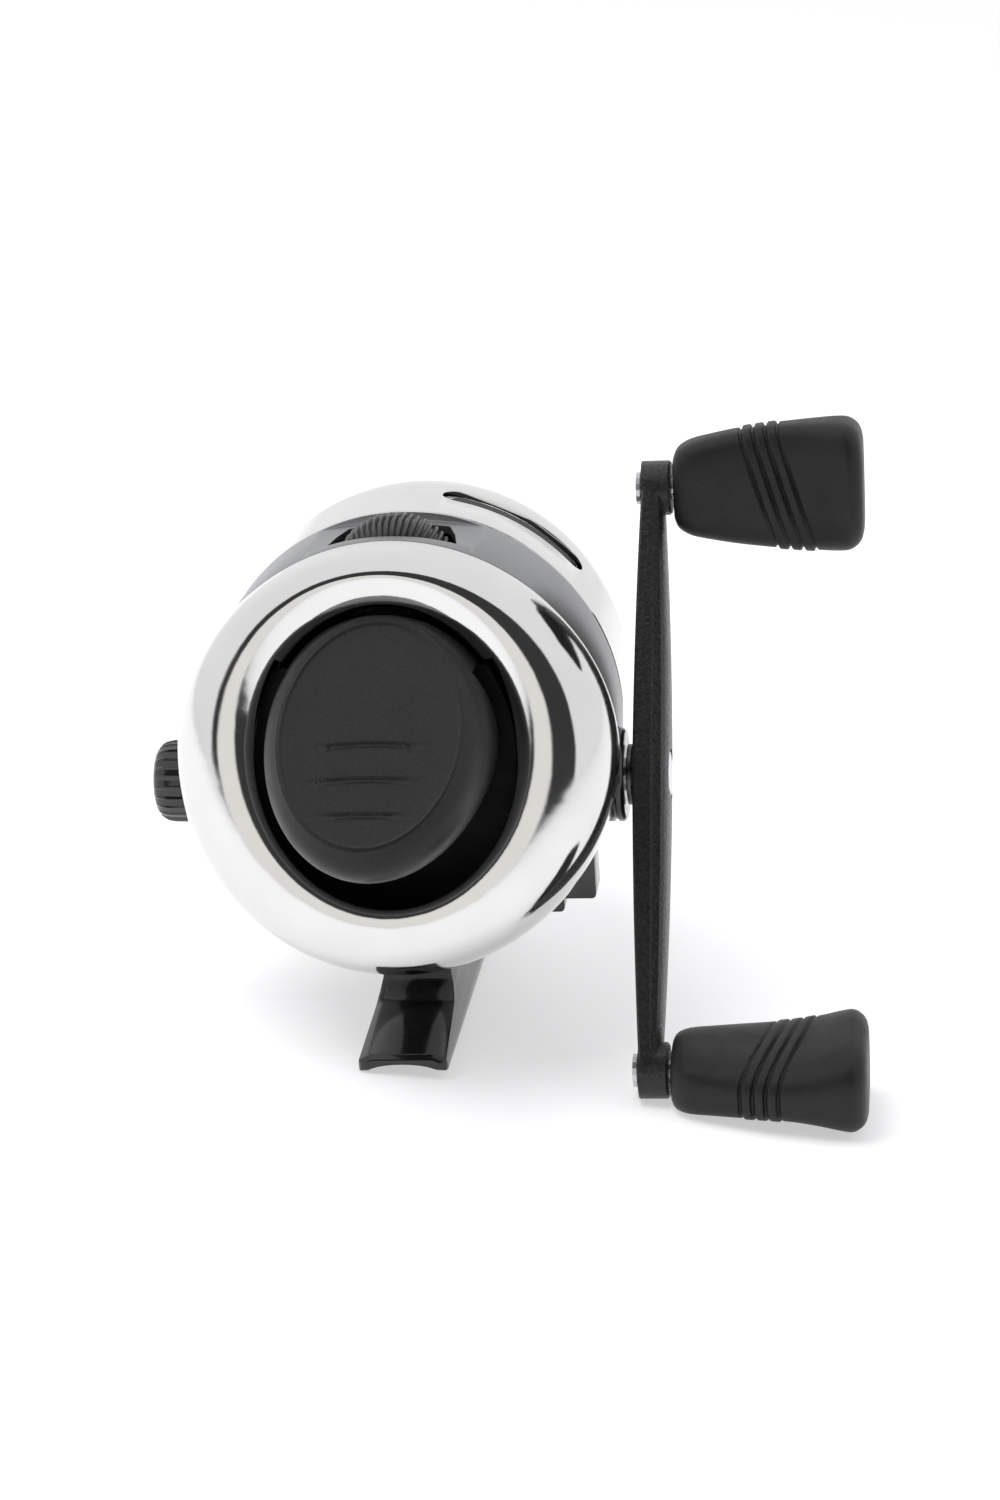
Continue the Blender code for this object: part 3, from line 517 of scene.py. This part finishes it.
def rear_cover():
    """A deep bowl whose edge rises to a crest and then rolls into the opening."""
    count, rows_over, rows_in = 200, 30, 14
    rim = oval(BODY_R, BODY_R, reel_box("rear_cover")[1].y, 0, 0, count)
    bulge = oval(**BULGE, count=count)
    crest = oval(**grown(OPENING, CREST_OUT, 0), count=count)
    lip = oval(**grown(OPENING, -LIP_IN, CREST_HIGH), count=count)
    outside = [[a + (b - a) * share ** 0.5 + Vector((0, (b - a).y * (share - share ** 0.5), 0))
                for a, b in zip(rim, bulge)] for share in (0, 0.06, 0.16, 0.32, 0.52, 0.76)]
    outside += [[round_over(a, b, k / rows_over, COVER_BEND) for a, b in zip(bulge, crest)]
                for k in range(rows_over + 1)]
    for k in range(1, rows_in + 1):
        inward, forward = sin(pi / 2 * k / rows_in), 1 - cos(pi / 2 * k / rows_in)
        outside.append([Vector((a.x + (b.x - a.x) * inward, a.y + (b.y - a.y) * forward,
                                a.z + (b.z - a.z) * inward)) for a, b in zip(crest, lip)])
    centre = Vector((0, OPENING["centre_y"] + CREST_HIGH, OPENING["centre_z"]))
    edge = [point - (centre - point).normalized() * SHELL for point in lip]
    inner_rim = [point * ((BODY_R - SHELL) / BODY_R) for point in rim]
    for point in inner_rim:
        point.y = rim[0].y
    inside = [[round_over(a, b, k / rows_over, COVER_BEND) for a, b in zip(inner_rim, edge)]
              for k in range(rows_over, -1, -1)]
    obj = make("rear_cover_shell", *skin(outside + inside, ends_meet=True), "body",
               "rear_cover", "polished_chrome", LOOK["polished_chrome"], 50)
    return carve(obj, boss_clearance())


# ---------------------------------------------------------------- band, drag window

DISH_R = 60.0           # the recess floor is a flatter arc than the band
DISH_DEPTH = 1.2
DISH_Y = (3.0, 14.3)
DISH_RISE = 6.0         # how far the recess's cutter flares outwards
WALL = 2.0
WINDOW_X = 9.9
WINDOW_Y = (3.6, 12.2)
RIM_RIBS = 54
RIM_LEAN = 85           # degrees over which the rim's crown runs on each side


def arc_block(inner, outer, start, end, low, high, steps=24):
    """A curved block round the spool axis, angles in degrees from +Z to +X."""
    rows = []
    for k in range(steps + 1):
        turn = radians(start + (end - start) * k / steps)
        s, c = sin(turn), cos(turn)
        rows.append([Vector((r * s, y, r * c)) for r, y in
                     ((outer, high), (outer, low), (inner, low), (inner, high))])
    return skin(rows, start_cap=True, end_cap=True)


def body_band():
    back = reel_box("body_band")[0].y
    step = BODY_R - SHELL - 0.3
    profile = rounded([(BODY_R - WALL, BAND_END), (BODY_R, BAND_END), (BODY_R, 0), (step, 0),
                       (step, back), (BODY_R - WALL, back)], [0.2, 0.35, 0.25, 0, 0.2, 0.2])
    obj = make("body_band_ring", *lathe(profile, 256), "body", "body_band", "band_grey",
               LOOK["band_grey"])
    carve(obj, boss_clearance())
    flare = DISH_RISE * 0.75
    dish = [(DISH_R, DISH_Y[0]), (DISH_R, DISH_Y[1]), (DISH_R + DISH_RISE, DISH_Y[1] + flare),
            (DISH_R + DISH_RISE, DISH_Y[0] - flare)]
    drop = Matrix.Translation((0, 0, BODY_R - DISH_DEPTH - DISH_R))
    carve(obj, lathe(rounded(dish, [0.3, 0.3, 0, 0]), 256, place=drop))
    window = [(-WINDOW_X, WINDOW_Y[0]), (WINDOW_X, WINDOW_Y[0]), (WINDOW_X - 0.9, 8.4),
              (WINDOW_X - 2.2, WINDOW_Y[1]), (2.2 - WINDOW_X, WINDOW_Y[1]),
              (0.9 - WINDOW_X, 8.4)]
    carve(obj, extrude(rounded(window, 0.5), 24, 40, to3d=lambda u, v, w: (u, v, w)))
    carve(obj, arc_block(28.5, 33.5, 130.5, 152.5, 3.9, 8.1))
    return obj


def drag_wheel():
    """The ribbed wheel whose crowned rim shows in the window."""
    outer, root = DRAG_HIGH.x - 0.55, DRAG_HIGH.x - 1.35
    middle, half = (DRAG_LOW.y + DRAG_HIGH.y) / 2, (DRAG_HIGH.y - DRAG_LOW.y) / 2
    rows = []
    for step in range(-12, 13):
        lean = radians(RIM_LEAN) * step / 12
        y = middle + half * sin(lean) / sin(radians(RIM_LEAN))
        sink = 2.6 * (1 - sqrt(1 - abs(sin(lean)) ** 2.4 * 0.97))
        row = []
        for k in range(RIM_RIBS):
            for share, height in ((0.0, 0), (0.20, 0.05), (0.28, 0.8), (0.36, 1), (0.5, 1.06),
                                  (0.64, 1), (0.72, 0.8), (0.80, 0.05)):
                turn = 2 * pi * (k + share) / RIM_RIBS
                r = root + (outer - root) * height - sink
                row.append(Vector((r * sin(turn), y, DRAG_AXIS.z + r * cos(turn))))
        rows.append(row)
    obj = make("drag_wheel_rim", *skin(rows, start_cap=True, end_cap=True), "drag_wheel",
               "drag_wheel", "satin_black", LOOK["wheel"])
    return carve(obj, drum(2.2, -5, 20, 32, Matrix.Translation(DRAG_AXIS)))


def anti_reverse_tab():
    """The stepped tab below the crank, its slide inside the band and the neck between."""
    obj = make("anti_reverse_tab", *arc_block(28.2, 29.55, 122, 157, 2.5, 9.5),
               "anti_reverse_lever", "anti_reverse_lever", "gloss_black", LOOK["gloss_black"])
    carve(obj, arc_block(29.0, 33.2, 132.5, 140.5, 4.2, 7.8), "UNION")

    def block(right, bottom, low, high):
        """A corner block: an upright face to the right, a level face below."""
        inner = BODY_R + 0.35
        top = -sqrt(max(inner ** 2 - right ** 2, 0))
        left = sqrt(max(inner ** 2 - bottom ** 2, 0))
        outline = [(right, bottom), (right, top)]
        first, last = atan2(right, top), atan2(left, bottom)
        outline += [(inner * sin(first + (last - first) * k / 8),
                     inner * cos(first + (last - first) * k / 8)) for k in range(1, 9)]
        return extrude(rounded(outline, [0.7, 0.3] + [0] * 8), low, high,
                       to3d=lambda u, v, w: (u, w, v))

    carve(obj, block(27.7, -26.6, 3.0, 9.0), "UNION")
    carve(obj, block(22.7, -28.9, 3.3, 8.7), "UNION")
    return soften(obj, 0.18, 2)


# ---------------------------------------------------------------- front cover

SLOT_ANGLES = (31.0, 151.0, 271.0)
SLOT_Y = 25.5
SLOT_HALF = (12.2, 2.5)


def cover_outline():
    """Outer side of the front cover, from its rear edge to the nose."""
    radius, start = 26.0, 29.0
    flat = BODY_R - 0.05
    points = [(flat, COVER_START), (flat, start)]
    for k in range(1, 26):
        turn = radians(2 * k)
        points.append((flat - radius + radius * cos(turn), start + radius * sin(turn)))
    return points + [(9.5, NOSE_END)]


def offset(points, depth):
    """Move a profile inwards by depth."""
    moved = []
    for i, (r, y) in enumerate(points):
        a, b = points[max(i - 1, 0)], points[min(i + 1, len(points) - 1)]
        dr, dy = b[0] - a[0], b[1] - a[1]
        size = hypot(dr, dy)
        moved.append((r - depth * dy / size, y + depth * dr / size))
    moved[0] = (moved[0][0], points[0][1])
    return moved


def slot_frame(angle):
    """Local Z points out through a slot and local X along it."""
    return Matrix.Rotation(radians(angle), 4, "Y") @ Matrix.Translation((0, SLOT_Y, 0))


def stadium(half_len, half_wide, count=10):
    right = [(half_len - half_wide + half_wide * cos(a), half_wide * sin(a))
             for a in (-pi / 2 + pi * i / count for i in range(count + 1))]
    return right + [(-u, -v) for u, v in right]


def front_cover():
    outer = cover_outline()
    inner = offset(outer, SHELL)
    profile = [(outer[0][0] - 0.25, outer[0][1]), (outer[0][0], outer[0][1] + 0.25)]
    profile += outer[1:] + list(reversed(inner))
    obj = make("front_cover_shell", *lathe(profile, 256), "front_cover", "front_cover",
               "polished_chrome", LOOK["polished_chrome"])
    for angle in SLOT_ANGLES:
        carve(obj, extrude(stadium(*SLOT_HALF), 24, 38, slot_frame(angle),
                           lambda u, v, w: (u, v, w)))
    edge = obj.modifiers.new("edge", "BEVEL")
    edge.width = 0.22 * MM
    edge.segments = 2
    edge.limit_method = "ANGLE"
    edge.angle_limit = radians(50)
    bake(obj)
    obj.data.shade_smooth()
    obj.data.set_sharp_from_angle(angle=radians(SOFT_ANGLE))
    return obj


def grip_insert(index, angle):
    """A crowned bar that follows the cover's curve inside its slot."""
    half_len, half_wide = SLOT_HALF[0] - 0.4, SLOT_HALF[1] - 0.32
    top = BODY_R - 0.5
    span = degrees(half_len / BODY_R)
    rows = []
    steps = 40
    for k in range(steps + 1):
        share = -1 + 2 * k / steps
        ahead = max(abs(share) * half_len - (half_len - half_wide), 0) / half_wide
        wide = half_wide * sqrt(max(1 - ahead ** 2, 0.0009))
        lean = radians(angle + span * share)
        row = []
        for j in range(13):
            across = -1 + 2 * j / 12
            r = top - 0.5 * abs(across) ** 3 - 0.6 * ahead ** 2
            row.append(Vector((r * sin(lean), SLOT_Y + wide * across, r * cos(lean))))
        for across in (1, -1):
            r = 29.9
            row.append(Vector((r * sin(lean), SLOT_Y + wide * across, r * cos(lean))))
        rows.append(row)
    return make("grip_bar_%d" % index, *skin(rows, start_cap=True, end_cap=True),
                "front_cover", "grip_insert_%d" % index, "satin_black", LOOK["insert"])


def nose_ring():
    low, high = reel_box("nose_ring")
    profile = rounded([(5.0, NOSE_END + 0.6), (5.7, high.y), (8.6, high.y),
                       (high.x, NOSE_END + 0.3), (7.9, NOSE_END + 0.3), (7.9, low.y),
                       (5.6, low.y)], [0.5, 0.4, 0.6, 0.2, 0.1, 0.2, 0.2])
    return make("nose_guide", *lathe(profile, 128), "front_cover", "nose_ring",
                "polished_steel", LOOK["polished_steel"])


# ---------------------------------------------------------------- thumb button

PAD_LOW = Vector((0, -38.5, -1.9))
PAD_HIGH = Vector((0, -10.2, 23.3))
PAD_HALF_X = 13.6
GROOVES = ((-0.08, 8.6), (-0.38, 8.8), (-0.68, 7.0))


def pad_relief(u, v):
    """Height of the pad's face at (u, v), both -1 to 1, in millimetres."""
    rho = hypot(u, v)
    height = 0.16 * exp(-((rho - 0.965) / 0.014) ** 2)
    height -= 0.16 * max(0.0, 1 - (rho / 0.95) ** 6)
    for centre, half in GROOVES:
        x = u * PAD_HALF_X
        fade = max(0.0, 1 - (x / half) ** 4)
        level = (v - centre) * 17.6 + 0.012 * x * x
        height += fade * (0.10 * exp(-((level + 0.30) / 0.20) ** 2)
                          - 0.26 * exp(-((level - 0.05) / 0.17) ** 2))
    return height


def thumb_button():
    count, rows_over, rings = 160, 26, 150
    base = oval(16.95, 17.15, reel_box("thumb_button")[1].y, 6.4, 0, count)
    middle = (PAD_LOW + PAD_HIGH) / 2
    up = (PAD_HIGH - PAD_LOW) / 2
    side = Vector((PAD_HALF_X, 0, 0))
    out = side.cross(up).normalized()
    if out.y > 0:
        out = -out
    pad = [middle + side * sin(t) + up * cos(t)
           for t in (2 * pi * i / count for i in range(count))]
    rows = [base] + [[round_over(a, b, (k + 1) / rows_over, 3.0) for a, b in zip(base, pad)]
                     for k in range(rows_over)]
    for k in range(1, rings):
        rho = 1 - k / rings
        rows.append([middle + side * rho * sin(t) + up * rho * cos(t)
                     + out * pad_relief(rho * sin(t), rho * cos(t))
                     for t in (2 * pi * i / count for i in range(count))])
    verts, faces = skin(rows, start_cap=True, end_cap=True)
    obj = make("thumb_button_cap", verts, faces, "button", "thumb_button", "satin_black",
               LOOK["satin_black"], 60)
    plate_low, plate_high = reel_box("rear_plate")
    seat = plate_low.y - 5.3
    room = extrude([(-30, -30), (30, -30), (30, plate_high.z + 0.7), (-30, plate_high.z + 0.7)],
                   seat, 5, to3d=lambda u, v, w: (u, w, v))
    carve(obj, room)
    key = rounded([(-1, -12.6), (1, -12.6), (1, -8.5), (-1, -8.5)], [0.2, 0.2, 0, 0])
    carve(obj, extrude(key, -19, seat, to3d=lambda u, v, w: (u, w, v)), "UNION")
    return obj


# ---------------------------------------------------------------- crank and knobs

def arm_row(along, half_end):
    """A section of the crank arm: flat inside, a step, then a crowned outside."""
    t = min(abs(along) / REACH, 1.0)
    half = (13.0 - 4.6 * t ** 0.8) / 2
    ahead = max(abs(along) - half_end, 0.0)
    half = min(half, sqrt(max(16.8 - ahead ** 2, 0.2))) if ahead > 0 else half
    inside = 34.6 + 1.0 * t ** 2
    outside = 40.0 - 1.3 * t ** 2
    shoulder = inside + 0.54 * (outside - inside)
    ring = [(inside, -half + 0.35), (inside + 0.35, -half), (shoulder - 0.15, -half),
            (shoulder + 0.1, -half + 0.22)]
    crown = 9
    for k in range(1, crown + 1):
        a = pi * k / (crown + 1)
        ring.append((shoulder + (outside - shoulder) * sin(a) ** 0.55,
                     -(half - 0.3) * cos(a)))
    ring += [(x, -y) for x, y in reversed(ring[:4])]
    return [Vector((x, y, along)) for x, y in ring]


def crank_arm():
    place = crank_frame()
    rows = [[place @ p for p in arm_row(REACH * s / 40, REACH)] for s in range(-40, 41)]
    obj = make("crank_arm_casting", *skin(rows, start_cap=True, end_cap=True), "crank",
               "crank_arm", "crank_black", LOOK["crank_black"])
    ends = [crank_frame(reach) @ on_x() for reach in (REACH, -REACH)]
    carve(obj, together(*(drum(4.2, 35.4, 39.85, 64, end, 0.3) for end in ends)), "UNION")
    hub = lathe([(0, 30), (2.75, 30), (2.75, 36.4), (1.7, 36.4), (1.7, 38.4), (3.7, 38.4),
                 (3.7, 45), (0, 45)], 48, False, crank_frame() @ on_x())
    carve(obj, together(hub, *(drum(2.0, 30, 45, 32, end) for end in ends)))
    return soften(obj, 0.12, 2, 50)


KNOB_START = (reel_box("knob_top")[0].x, reel_box("knob_top")[1].x)
KNOB_SHAPE = ((0, 4.85, 3.45), (0.35, 5.7, 4.05), (1.1, 6.5, 4.45), (2.7, 7.35, 4.6),
              (6.0, 8.15, 4.45), (9.7, 8.85, 4.35), (14.5, 9.5, 4.35), (18.5, 9.85, 4.7),
              (22.0, 10.05, 5.5), (25.0, 10.1, 6.45), (26.6, 9.9, 6.8), (27.8, 9.2, 6.35),
              (28.5, 8.2, 5.65), (28.8, 7.0, 4.9))


def knob_radii(along):
    """The knob's half width and half thickness, smooth through its stations."""
    for i in range(len(KNOB_SHAPE) - 1):
        if along <= KNOB_SHAPE[i + 1][0]:
            break
    a, b = KNOB_SHAPE[i], KNOB_SHAPE[i + 1]
    before, after = KNOB_SHAPE[max(i - 1, 0)], KNOB_SHAPE[min(i + 2, len(KNOB_SHAPE) - 1)]
    span = b[0] - a[0]
    t = (along - a[0]) / span
    values = []
    for k in (1, 2):
        slope_a = (b[k] - before[k]) / max(b[0] - before[0], 0.1) * span
        slope_b = (after[k] - a[k]) / max(after[0] - a[0], 0.1) * span
        values.append((2 * t ** 3 - 3 * t ** 2 + 1) * a[k] + (t ** 3 - 2 * t ** 2 + t) * slope_a
                      + (3 * t ** 2 - 2 * t ** 3) * b[k] + (t ** 3 - t ** 2) * slope_b)
    return values


BOTTOM_ROLL = radians(98)
RIBS = 3
RIB_PITCH = 1.94
RIB_LEAN = -0.285
RIB_MIDDLE = 15.8


def rib_height(along, wide):
    """Three slanting ribs round the knob, with a groove on each side of every rib."""
    level = (along - RIB_MIDDLE - RIB_LEAN * wide) / RIB_PITCH
    height = 0.0
    for k in range(RIBS):
        off = abs(level - (k - (RIBS - 1) / 2))
        height += 0.22 * max(0.0, 1 - (off / 0.36) ** 8)
    for k in range(RIBS + 1):
        off = level - (k - RIBS / 2)
        height -= 0.36 * exp(-(off / 0.13) ** 4)
    return height


def knob(label, reach, roll):
    count, stations, bend = 144, 300, 3.2
    place = crank_frame(reach) @ Matrix.Translation((KNOB_START[0], 0, 0)) \
        @ Matrix.Rotation(roll + TILT, 4, "X")
    length = KNOB_START[1] - KNOB_START[0]
    rows = []
    for s in range(stations + 1):
        share = s / stations
        along = length * (share - sin(2 * pi * share) / (2 * pi) * 0.45)
        wide, narrow = knob_radii(along)
        row = []
        for i in range(count):
            turn = 2 * pi * i / count
            c, d = cos(turn), sin(turn)
            size = (abs(c) ** bend + abs(d) ** bend) ** (-1 / bend)
            w, n = wide * size * c, narrow * size * d
            if 6 < along < 25:
                lift = rib_height(along, w)
                grow = 1 + lift / hypot(w, n)
                w, n = w * grow, n * grow
            row.append(place @ Vector((along, -n, w)))
        rows.append(row)
    verts, faces = skin(rows, start_cap=True, end_cap=True)
    obj = make("knob_grip_" + label, verts, faces, "knob_" + label, "knob_" + label,
               "knob_black", LOOK["knob_black"], 60)
    return carve(obj, drum(1.9, -1, 25.5, 32, place @ on_x()))


def shaft_cap():
    """The knurled cap: broad flutes with thin ridges, and a domed end."""
    low, high = reel_box("shaft_cap")
    ribs = 24
    profile = [(6.05, high.x), (6.3, high.x - 0.2), (6.35, -35.0), (6.3, -36.6), (6.1, -37.6),
               (5.7, -38.3), (5.0, -38.85), (4.0, -39.12), (2.5, low.x), (0.6, low.x)]
    rows = []
    for r, x in profile:
        row = []
        for i in range(ribs * 12):
            share = (i % 12) / 12
            ridge = exp(-((share - 0.5) / 0.11) ** 2)
            depth = 0.26 if x > -37.8 else 0.26 * max(0.0, (x + 39.0) / 1.2)
            turn = 2 * pi * i / (ribs * 12)
            size = r - depth * (1 - ridge) if r > 4.5 else r
            row.append(crank_frame() @ Vector((x, size * sin(turn), size * cos(turn))))
        rows.append(row)
    obj = make("shaft_cap_knurled", *skin(rows, start_cap=True, end_cap=True), "crank",
               "shaft_cap", "gloss_black", LOOK["gloss_black"], 50)
    return carve(obj, drum(2.75, -36.4, -30, 48, crank_frame() @ on_x()))


def crank_bushing(side):
    """The black boss that the crank shaft runs in, with a thin outer washer."""
    node = "crank_bushing_right" if side > 0 else "crank_bushing_left"
    low, high = reel_box(node)
    end = high.x if side > 0 else -low.x
    profile = rounded([(2.6, end), (6.7, end), (7.1, end - 0.4), (7.1, end - 1.1),
                       (6.75, end - 1.3), (6.75, end - 1.7), (7.1, end - 1.9), (7.1, 26.0),
                       (3.9, 26.0), (3.9, 21.3), (2.6, 21.3)],
                      [0.1, 0.2, 0.2, 0.1, 0.1, 0.1, 0.1, 0.2, 0.1, 0.1, 0.1], 3)
    place = on_x(0, CRANK.y, CRANK.z)
    if side < 0:
        place = place @ Matrix.Rotation(pi, 4, "Z")
    return make(node + "_boss", *lathe(profile, 96, place=place), "body", node, "gloss_black",
                LOOK["gloss_black"])


def hub_spacer():
    low, high = reel_box("hub_spacer")
    profile = rounded([(2.75, high.x), (4.6, high.x), (4.6, low.x), (2.75, low.x)], 0.12, 3)
    return make("hub_washer", *lathe(profile, 64, place=crank_frame() @ on_x()), "crank",
                "hub_spacer", "steel", LOOK["spacer"])


# ---------------------------------------------------------------- foot

ARCH_HALF = 5.2         # the hollow under each tongue
ARCH_HIGH = 1.2
FOOT_CORNER = 1.5
EDGE_DROP = 1.0         # how far a tongue's top falls at its outer edges
EDGE_IN = 2.2           # width of that fall


def foot():
    """The rod foot: a saddle, and two tongues with hollowed undersides."""
    half = FOOT_HIGH.x
    base = FOOT_LOW.z
    rear, front = FOOT_LOW.y, FOOT_HIGH.y
    side = [(rear, base + 0.5), (rear + 0.5, base), (front - 0.5, base), (front, base + 0.5),
            (front, base + 1.9), (front - 0.8, base + 2.6), (24.5, -39.3), (20.5, -37.4),
            (16.2, -33.7), (14.9, -33.1), (14.9, -30.6), (0.7, -30.6), (0.5, -33.4),
            (-2.4, -38.2), (-5.5, -39.6), (rear + 0.8, base + 2.6), (rear, base + 1.9)]
    outline = rounded(side, [0.4, 0.4, 0.4, 0.4, 0.5, 0.7, 6, 4, 2, 0.3, 0, 0, 0.3, 3, 4, 0.7, 0.5],
                      6)
    rows = []
    for x, drop in ((-half, EDGE_DROP), (EDGE_IN - half, 0), (half - EDGE_IN, 0),
                    (half, EDGE_DROP)):
        row = []
        for y, z in outline:
            on_tongue = min(max((-1.0 - y) / 3.0, (y - 17.0) / 3.0, 0.0), 1.0)
            row.append(Vector((x, y, z - drop * on_tongue if z > base + 1.0 else z)))
        rows.append(row)
    obj = make("rod_foot", *skin(rows, start_cap=True, end_cap=True), "body", "foot",
               "gloss_black", LOOK["gloss_black"])
    carve(obj, drum(BODY_R + 0.25, -30, 60, 256))
    arch = [(-4.6, base - 1), (4.6, base - 1)] + [
        (ARCH_HALF * cos(a), base + ARCH_HIGH * sin(a)) for a in (pi * k / 12 for k in range(13))]
    carve(obj, together(*(extrude(arch, start, end, to3d=lambda u, v, w: (u, w, v))
                          for start, end in ((rear - 1, -4.5), (28.5, front + 1)))))
    corner = FOOT_CORNER
    corners, flanks = [], []
    for sign in (-1, 1):
        for y, outward in ((rear, -1), (front, 1)):
            quarter = [(half + 1, y - outward * corner)]
            quarter += [(half - corner + corner * cos(a), y - outward * corner * (1 - sin(a)))
                        for a in (pi / 2 * k / 6 for k in range(7))]
            quarter += [(half - corner, y + outward), (half + 1, y + outward)]
            corners.append(extrude([(sign * u, v) for u, v in quarter], base - 2, base + 6,
                                   to3d=lambda u, v, w: (u, v, w)))
        flank = [(half + 1.6, -29.0), (half + 1.6, base + 0.4), (half + 0.1, base + 0.4),
                 (half - 1.75, base + 8.5), (half - 1.75, -29.0)]
        flanks.append(extrude([(sign * u, v) for u, v in flank], rear - 2, front + 2,
                              to3d=lambda u, v, w: (u, w, v)))
    carve(obj, together(*corners))
    carve(obj, together(*flanks))
    return soften(obj, 0.28, 3, 30)


# ---------------------------------------------------------------- build the pieces

# The rear plate and main frame are painted near black: painted shade for the dark inside behind the thumb button.
SHADE_PAINTED_NODES = ("rear_plate", "main_frame")

rear_cover()
body_band()
drag_wheel()
anti_reverse_tab()
front_cover()
for number, slot_angle in enumerate(SLOT_ANGLES):
    grip_insert(number + 1, slot_angle)
nose_ring()
thumb_button()
crank_arm()
knob("top", REACH, 0)
knob("bottom", -REACH, BOTTOM_ROLL)
shaft_cap()
crank_bushing(1)
crank_bushing(-1)
hub_spacer()
foot()

for entry in frame["record"]["subparts"]:
    node = frame["nodes"][entry["node"]]
    if not node.hide_render:
        # the inner parts listed above get the near-black look: painted shade
        look = "plate" if entry["node"] in SHADE_PAINTED_NODES else entry["material_slot"]
        node.data.materials.clear()
        node.data.materials.append(LOOK[look])


# ---------------------------------------------------------------- camera, floor and light

CAMERA_AZIMUTH = radians(8.669)
CAMERA_ELEVATION = radians(20.113)
CAMERA_ROLL = radians(3.861)
CAMERA_DISTANCE = 0.4958
CAMERA_AIM = Vector((0.0146, -0.0104, 0.0428))
PALE_SPOT = (-9, 8)     # middle of the tent's pale opening: azimuth and elevation in degrees
DARK_SPOT = (10, 25)    # middle of the dark round it


def camera():
    ahead = Vector((-sin(CAMERA_AZIMUTH) * cos(CAMERA_ELEVATION),
                    cos(CAMERA_AZIMUTH) * cos(CAMERA_ELEVATION), -sin(CAMERA_ELEVATION)))
    right = ahead.cross(Vector((0, 0, 1))).normalized()
    up = right.cross(ahead)
    right, up = (right * cos(CAMERA_ROLL) - up * sin(CAMERA_ROLL),
                 up * cos(CAMERA_ROLL) + right * sin(CAMERA_ROLL))
    data = bpy.data.cameras.new("camera")
    data.lens = 79.2
    data.sensor_width = 36
    data.clip_start = 0.01
    obj = bpy.data.objects.new("camera", data)
    axes = Matrix((right, up, -ahead)).transposed().to_4x4()
    obj.matrix_world = Matrix.Translation(CAMERA_AIM - ahead * CAMERA_DISTANCE) @ axes
    bpy.context.scene.collection.objects.link(obj)
    bpy.context.scene.camera = obj


def floor():
    """A pale sheet that touches the foot's left edge and the lower knob."""
    foot_edge = to_world((FOOT_LOW.x, 0, FOOT_LOW.z))
    knob_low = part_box("knob_bottom")[0].z
    knob_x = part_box("knob_bottom")[1].x - 0.003
    lean = atan2(foot_edge.z - knob_low, knob_x - foot_edge.x)
    bpy.ops.mesh.primitive_plane_add(size=6)
    obj = bpy.context.object
    obj.name = "floor"
    obj.rotation_euler = (0, lean, 0)
    obj.location = foot_edge + Vector((0, 0, -0.0001))
    n = Nodes("pale_floor")
    paper = n.noise(0.4, 3)
    n.value("Emission Color", (0.985, 0.985, 1.0, 1.0))
    n.value("Emission Strength", 0.52)
    n.value("Specular IOR Level", 0.2)
    n.set(n.blend(paper, (0.50, 0.50, 0.505), (0.52, 0.52, 0.525)),
          n.ramp(paper, 0.3, 0.7, 0.85, 0.95))
    obj.data.materials.append(n.material)


def area_light(name, place, aim, width, height, power):
    data = bpy.data.lights.new(name, "AREA")
    data.shape = "RECTANGLE"
    data.size = width
    data.size_y = height
    data.energy = power
    obj = bpy.data.objects.new(name, data)
    obj.location = place
    obj.rotation_euler = (Vector(aim) - Vector(place)).to_track_quat("-Z", "Y").to_euler()
    obj.visible_glossy = False
    bpy.context.scene.collection.objects.link(obj)


def studio():
    """A white tent round the reel, with a dark ring in it behind the camera."""
    bpy.context.scene.view_settings.view_transform = "Standard"
    world = bpy.data.worlds.new("tent")
    bpy.context.scene.world = world
    world.use_nodes = True
    tree = world.node_tree

    def math(operation, first, second=0.0, third=0.0):
        node = tree.nodes.new("ShaderNodeMath")
        node.operation = operation
        for socket, value in zip(node.inputs, (first, second, third)):
            if isinstance(value, float):
                socket.default_value = value
            else:
                tree.links.new(value, socket)
        return node.outputs[0]

    def angle_to(azimuth, elevation):
        """Degrees between a direction and a point of the tent; azimuth 0 is behind, + is right."""
        node = tree.nodes.new("ShaderNodeVectorMath")
        node.operation = "DOT_PRODUCT"
        az, el = radians(azimuth), radians(elevation)
        node.inputs[1].default_value = (sin(az) * cos(el), -cos(az) * cos(el), sin(el))
        tree.links.new(coords.outputs["Generated"], node.inputs[0])
        return math("MULTIPLY", math("ARCCOSINE", node.outputs["Value"]), 180 / pi)

    def step(value, low, high):
        node = tree.nodes.new("ShaderNodeMapRange")
        node.interpolation_type = "SMOOTHSTEP"
        node.inputs["From Min"].default_value = low
        node.inputs["From Max"].default_value = high
        tree.links.new(value, node.inputs["Value"])
        return node.outputs["Result"]

    coords = tree.nodes.new("ShaderNodeTexCoord")
    dark = math("MULTIPLY", step(angle_to(*PALE_SPOT), 14, 17),
                step(angle_to(*DARK_SPOT), 48, 43))
    level = math("MULTIPLY_ADD", dark, -0.95, 1.0)
    back = tree.nodes["Background"]
    warm = tree.nodes.new("ShaderNodeMix")
    warm.data_type = "RGBA"
    warm.inputs[6].default_value = (0.985, 0.99, 1.0, 1.0)
    warm.inputs[7].default_value = (1.0, 0.98, 0.945, 1.0)
    tree.links.new(step(angle_to(*PALE_SPOT), 24, 10), warm.inputs["Factor"])
    tree.links.new(warm.outputs[2], back.inputs["Color"])
    tree.links.new(level, back.inputs["Strength"])
    area_light("key", (-0.25, -0.1, 0.9), (0, 0, 0.04), 0.6, 0.6, 8.0)


camera()
floor()
studio()
